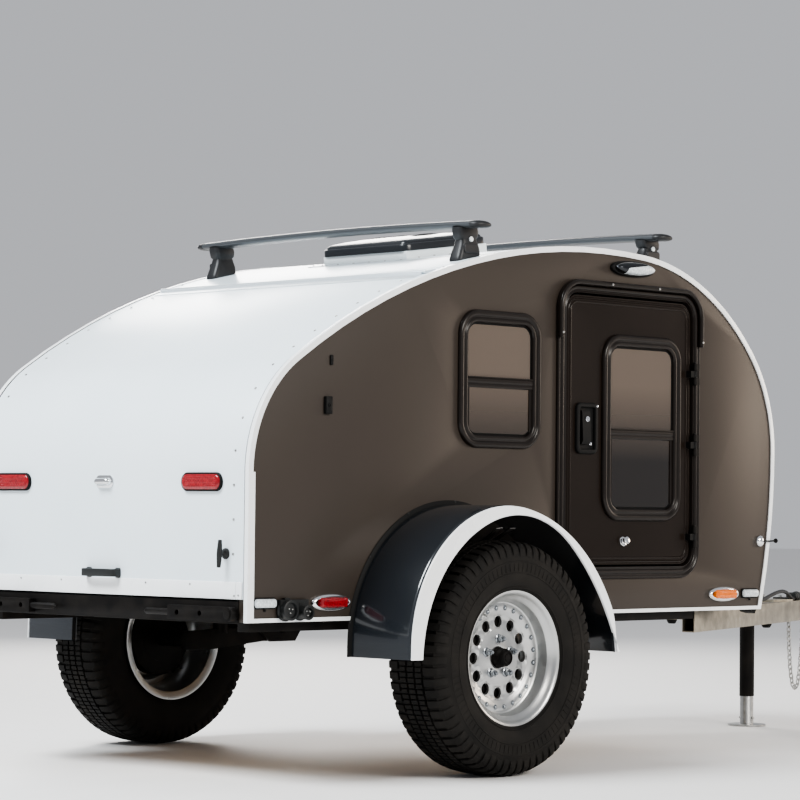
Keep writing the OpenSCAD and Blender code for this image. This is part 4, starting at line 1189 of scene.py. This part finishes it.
def bar_foot(name, x, z, side):
    """A tower foot: a wide pad that follows the roof, a narrow waist and a jaw under the bar."""
    levels = ((0, 0.100, 0.050), (0.05, 0.103, 0.052), (0.14, 0.100, 0.051), (0.30, 0.090, 0.048),
            (0.44, 0.078, 0.045), (0.54, 0.072, 0.043), (0.60, 0.070, 0.040), (0.66, 0.082, 0.045),
            (0.84, 0.088, 0.047), (0.97, 0.086, 0.045))
    under = z - BAR_ARCH * (2 * FOOT_Y / BAR_LENGTH) ** 2 + 0.006
    bm = bmesh.new()
    loops = []
    for t, w, d in levels:
        lean = 0.006 * sin(pi * t)
        points = []
        for u, v in rounded(x + lean, side * FOOT_Y, w, d, 0.014, 4):
            ground = roof_height(u) - 0.0005
            points.append((u, v, ground + (under - ground) * t))
        loops.append(points)
    close_ends(bm, loft(bm, loops))
    place = on_wall(side, 0)
    ground = roof_height(x)
    cap(bm, stack(bm, place, (x + 0.004, ground + (under - ground) * 0.30), (0.064, 0.030), 0.009,
            ((0, FOOT_Y + 0.020), (0, FOOT_Y + 0.0275), (0.002, FOOT_Y + 0.0290), (0.004, FOOT_Y + 0.0290)),
            5)[-1])
    add("bar_%s_foot" % name, bm, "bar_black", "chassis", crease=45)
    bm = bmesh.new()
    bolt = (x + 0.006, side * (FOOT_Y + 0.021), ground + (under - ground) * 0.60)
    turned(bm, mm((8.5, 0), (8.5, 4), (7, 5.5), (3, 5.5), (2.8, 3), (0, 3)), bolt, (0, side, 0.1), 20)
    add("bar_%s_bolt" % name, bm, "white_plastic", "chassis", crease=40)


for bar_name, (bar_x, bar_z) in zip(("rear", "front"), BAR_PLACES):
    roof_bar(bar_name, bar_x, bar_z)
    for foot_name, foot_side in SIDES.items():
        bar_foot("%s_%s" % (bar_name, foot_name), bar_x, bar_z, foot_side)

VENT_SIZE = 0.389
VENT_TILT = radians(8)
VENT_CORNER = (REAR_X + 1.100, BODY_Z + 1.180)


def on_vent(u, v, height):
    """Places points on the tilted vent: forward from its rear edge, across it, and off its top."""
    return (VENT_CORNER[0] + u * cos(VENT_TILT) - height * sin(VENT_TILT), v,
            VENT_CORNER[1] + u * sin(VENT_TILT) + height * cos(VENT_TILT))


def vent():
    middle_u = VENT_SIZE / 2 - 0.003
    size = (VENT_SIZE + 0.006, VENT_SIZE + 0.012)
    bm = bmesh.new()
    outside = mm((0, 0.5), (0, 19), (1.5, 22.5), (5, 24.5), (8, 24.8), (9.5, 29), (14, 33.5), (30, 38.5),
            (60, 43), (95, 46), (135, 47.5), (165, 47.8))
    inside = [(inset + 0.004, max(0.0005, height - 0.004)) for inset, height in reversed(outside)]
    rows = stack(bm, on_vent, (middle_u, 0), size, 0.030, outside, 8)
    cap(bm, rows[-1])
    rows_in = stack(bm, on_vent, (middle_u, 0), size, 0.030, inside, 8)
    cap(bm, rows_in[0])
    loft(bm, [[v.co.copy() for v in rows[0]], [v.co.copy() for v in rows_in[-1]]])
    for v in (-0.10, 0, 0.10):
        line = [on_vent(u, v, 0.0475 - 0.9 * (u - middle_u) ** 2) for u in [0.06 + 0.27 * k / 12
                for k in range(13)]]
        tube(bm, line, 0.0035, 8)
    for y in (-0.117, 0.117):
        tube(bm, [on_vent(VENT_SIZE + 0.008, y + d, 0.008) for d in (-0.027, 0.027)], 0.0070, 16)
        flap = [on_vent(u, y + d, h) for d in (-0.027, 0.027) for u, h in ((-0.006 + VENT_SIZE, 0.003),
                (VENT_SIZE + 0.006, 0.003), (VENT_SIZE + 0.006, 0.012), (VENT_SIZE - 0.006, 0.012))]
        close_ends(bm, loft(bm, [flap[:4], flap[4:]]))
    add("vent_lid_dome", bm, "smoke_plastic", "vent_lid", ["vent_lid"], 40)
    bm = bmesh.new()
    flange = rounded(middle_u, 0, VENT_SIZE + 0.085, VENT_SIZE + 0.085, 0.02, 6)
    inner = rounded(middle_u, 0, VENT_SIZE - 0.004, VENT_SIZE - 0.004, 0.012, 6)
    loops = []
    for outline, lift in ((flange, -0.001), (flange, 0.0022), (inner, 0.0026), (inner, -0.001)):
        loops.append([(on_vent(u, v, 0)[0], v, roof_height(on_vent(u, v, 0)[0]) + lift)
                for u, v in outline])
    loft(bm, loops, closed_across=True)
    add("vent_flange", bm, "white_skin", "chassis", crease=40)
    bm = bmesh.new()
    for u, v in along(flange + [flange[0]], 25)[:-1]:
        u, v = middle_u + (u - middle_u) * 0.955, v * 0.955
        x = on_vent(u, v, 0)[0]
        screw(bm, (x, v, roof_height(x) + 0.0022), (0, 0, 1), 0.0038)
    add("vent_screws", bm, "zinc", "chassis")


vent()


# ---- Tongue ----
TONGUE_ANGLE = radians(21.5)
TONGUE_APEX = REAR_X + BODY_LENGTH + 1.232
TUBE_HALF = 0.025 / cos(TONGUE_ANGLE)
COUPLER = (REAR_X + 3.680, 0, BODY_Z - 0.020)
JACK_X = REAR_X + BODY_LENGTH + 0.765
# Distance ahead of the body and rise off the tube, along the charging cable
CABLE_RISES = ((0.008, 0), (0.120, 0), (0.300, 0), (0.460, 0.001), (0.540, 0.006), (0.620, 0.016),
        (0.700, 0.026), (0.770, 0.031), (0.820, 0.029), (0.860, 0.021), (0.892, 0.009), (0.915, 0.001),
        (0.935, 0))


def on_tongue(ahead, rise):
    x = REAR_X + BODY_LENGTH + ahead
    return Vector((x, (x - TONGUE_APEX) * tan(TONGUE_ANGLE) + TUBE_HALF, BODY_Z + 0.0073 + rise))


def tow_cable():
    route = smooth_line([on_tongue(*spot) for spot in CABLE_RISES], 3)
    heading = Vector((cos(TONGUE_ANGLE), sin(TONGUE_ANGLE), 0))
    bm = bmesh.new()
    start = on_tongue(0.935, 0.010)
    turned(bm, mm((0, 0), (10.5, 0), (12.5, 2), (12.5, 12), (15, 14), (15, 34), (17, 36), (17, 46),
            (15.5, 48), (12.5, 48), (12, 42), (0, 42)), start, heading, 28)
    plug = add("cable_plug", bm, "black_plastic", "chassis")
    bm = bmesh.new()
    tube(bm, route, 0.007, 14)
    cable = add("cable_run", bm, "cable_black", "chassis", ["tow_cable"], 60)


def chain(name, side):
    """A safety chain that hangs in a bight from its lug back to a hook on the tongue."""
    start = Vector((COUPLER[0] - 0.089, side * 0.048, COUPLER[2] - 0.006))
    end = Vector((COUPLER[0] - 0.178, side * 0.050, BODY_Z - 0.074))
    low = 0.120
    count = 35
    line = []
    for k in range(count):
        t = k / (count - 1)
        spread = 0.5 - 0.5 * cos(pi * t)
        at = start.lerp(end, t * 0.6 + spread * 0.4)
        at.z = start.z * (1 - t) + end.z * t - (0.42 - low) * (4 * t * (1 - t)) ** 0.7
        line.append(at)
    line = [Vector((p[0], 0, p[1])) for p in along([(p.x, p.z) for p in line], count)]
    bm = bmesh.new()
    for k, (a, b) in enumerate(zip(line, line[1:])):
        mid_point = (a + b) / 2
        mid_point.y = start.y + (end.y - start.y) * k / count
        heading = (b - a).normalized()
        cross = Vector((0, 1, 0)) if k % 2 else heading.cross(Vector((0, 1, 0)))
        reach = (b - a).length / 2 + 0.0022
        link = []
        for q in range(16):
            turn = 2 * pi * q / 16
            link.append(mid_point + heading * (reach * cos(turn)) * 1.08
                    + cross * 0.0078 * copysign(abs(sin(turn)) ** 0.7, sin(turn)))
        tube(bm, link, 0.0026, 8, True)
    add("safety_chain_" + name, bm, "zinc", "chassis", crease=60)


def tongue_bolts():
    bm = bmesh.new()
    for x in (-0.042, 0.042):
        for y in (-0.042, 0.042):
            turned(bm, mm((0, -12), (9, -12), (9, -4), (5.2, -4), (5.2, 8.5), (9.8, 8.5), (9.8, 14.5),
                    (8.5, 16), (0, 16)), (JACK_X + x, y, BODY_Z + 0.008), (0, 0, 1), 6)
    for x in (-0.235, -0.120):
        for y in (-0.050, 0.050):
            turned(bm, mm((10.5, 0), (10.5, 1), (8.5, 1.2), (8.5, 6.8), (7.2, 7.8), (0, 7.8)),
                    (COUPLER[0] + x, y, BODY_Z + 0.008), (0, 0, 1), 6)
    add("tongue_bolts", bm, "zinc", "chassis", crease=30)
    bm = bmesh.new()
    for side in SIDES.values():
        spot = on_tongue(0.590, 0)
        at = (spot.x, side * abs(spot.y), BODY_Z - 0.076)
        turned(bm, mm((0, -16), (12, -16), (16, -12), (20, -3), (20, 0), (0, 0.5)), at, (0, 0, 1), 20)
    for side in SIDES.values():
        close_ends(bm, loft(bm, [[(REAR_X + x, side * y, BODY_Z - z)
                for x, z in ((2.352, 0.001), (2.400, 0.001), (2.392, 0.015), (2.362, 0.009))]
                for y in (0.600, 0.640)]))
    add("tongue_feet", bm, "seal_black", "chassis", crease=50)


tow_cable()
for chain_name, chain_side in SIDES.items():
    chain(chain_name, chain_side)
tongue_bolts()


# ---- Stage, light and camera ----
def stage_floor():
    bm = bmesh.new()
    rows = loft(bm, [[(r * cos(a), r * sin(a), -0.0005) for a in [2 * pi * k / 64 for k in range(64)]]
            for r in (60, 0.5)])
    cap(bm, rows[1])
    mesh = bpy.data.meshes.new("floor")
    bm.to_mesh(mesh)
    bm.free()
    floor = bpy.data.objects.new("floor_stage", mesh)
    bpy.context.scene.collection.objects.link(floor)
    mat = material("floor_paint", (0.80, 0.79, 0.78), 0.6, vary=0.01, bump=0.01)
    mesh.materials.append(mat)


def area_light(name, at, target, size, power, colour):
    light = bpy.data.lights.new(name, "AREA")
    light.shape = "RECTANGLE"
    light.size, light.size_y = size
    light.energy = power
    light.color = colour
    obj = bpy.data.objects.new(name, light)
    obj.location = at
    obj.rotation_euler = (Vector(target) - Vector(at)).to_track_quat("-Z", "Y").to_euler()
    bpy.context.scene.collection.objects.link(obj)


CAMERA_AT = (-7.5227, -6.8523, 0.8020)
CAMERA_ANGLES = (44.595, 2.195, 0.564)
CAMERA_LENS = 130.7


def camera():
    """The photograph's camera: a long lens low at the right rear corner."""
    data = bpy.data.cameras.new("camera")
    data.sensor_width = 36
    data.lens = CAMERA_LENS
    data.clip_end = 200
    obj = bpy.data.objects.new("camera", data)
    yaw, pitch, roll = [radians(a) for a in CAMERA_ANGLES]
    look = Vector((cos(pitch) * cos(yaw), cos(pitch) * sin(yaw), sin(pitch)))
    level = Vector((sin(yaw), -cos(yaw), 0))
    upright = level.cross(look)
    right = level * cos(roll) + upright * sin(roll)
    up = upright * cos(roll) - level * sin(roll)
    turn = Matrix((right, up, -look)).transposed().to_4x4()
    obj.matrix_world = Matrix.Translation(CAMERA_AT) @ turn
    bpy.context.scene.collection.objects.link(obj)
    bpy.context.scene.camera = obj


def world():
    sky = bpy.data.worlds.new("sky")
    bpy.context.scene.world = sky
    sky.use_nodes = True
    sky.node_tree.nodes["Background"].inputs["Color"].default_value = (0.93, 0.95, 1.0, 1)
    sky.node_tree.nodes["Background"].inputs["Strength"].default_value = 0.5


stage_floor()
area_light("key", (-6.2, 1.0, 6.8), (-1.2, 0, 1.0), (3.5, 3.0), 1080, (0.93, 0.975, 1.0))
area_light("side", (-0.5, -8.0, 4.2), (0, -0.6, 0.8), (5.0, 2.0), 520, (1.0, 0.96, 0.90))
area_light("far", (3.5, 5.5, 4.0), (0, 0, 1.0), (3.0, 3.0), 300, (1.0, 0.97, 0.93))
area_light("warm", (7.0, -3.4, 2.2), (0.9, -0.6, 0.9), (2.2, 2.0), 120, (1.0, 0.84, 0.68))
world()
camera()
bpy.context.scene.view_settings.look = "AgX - Medium High Contrast"
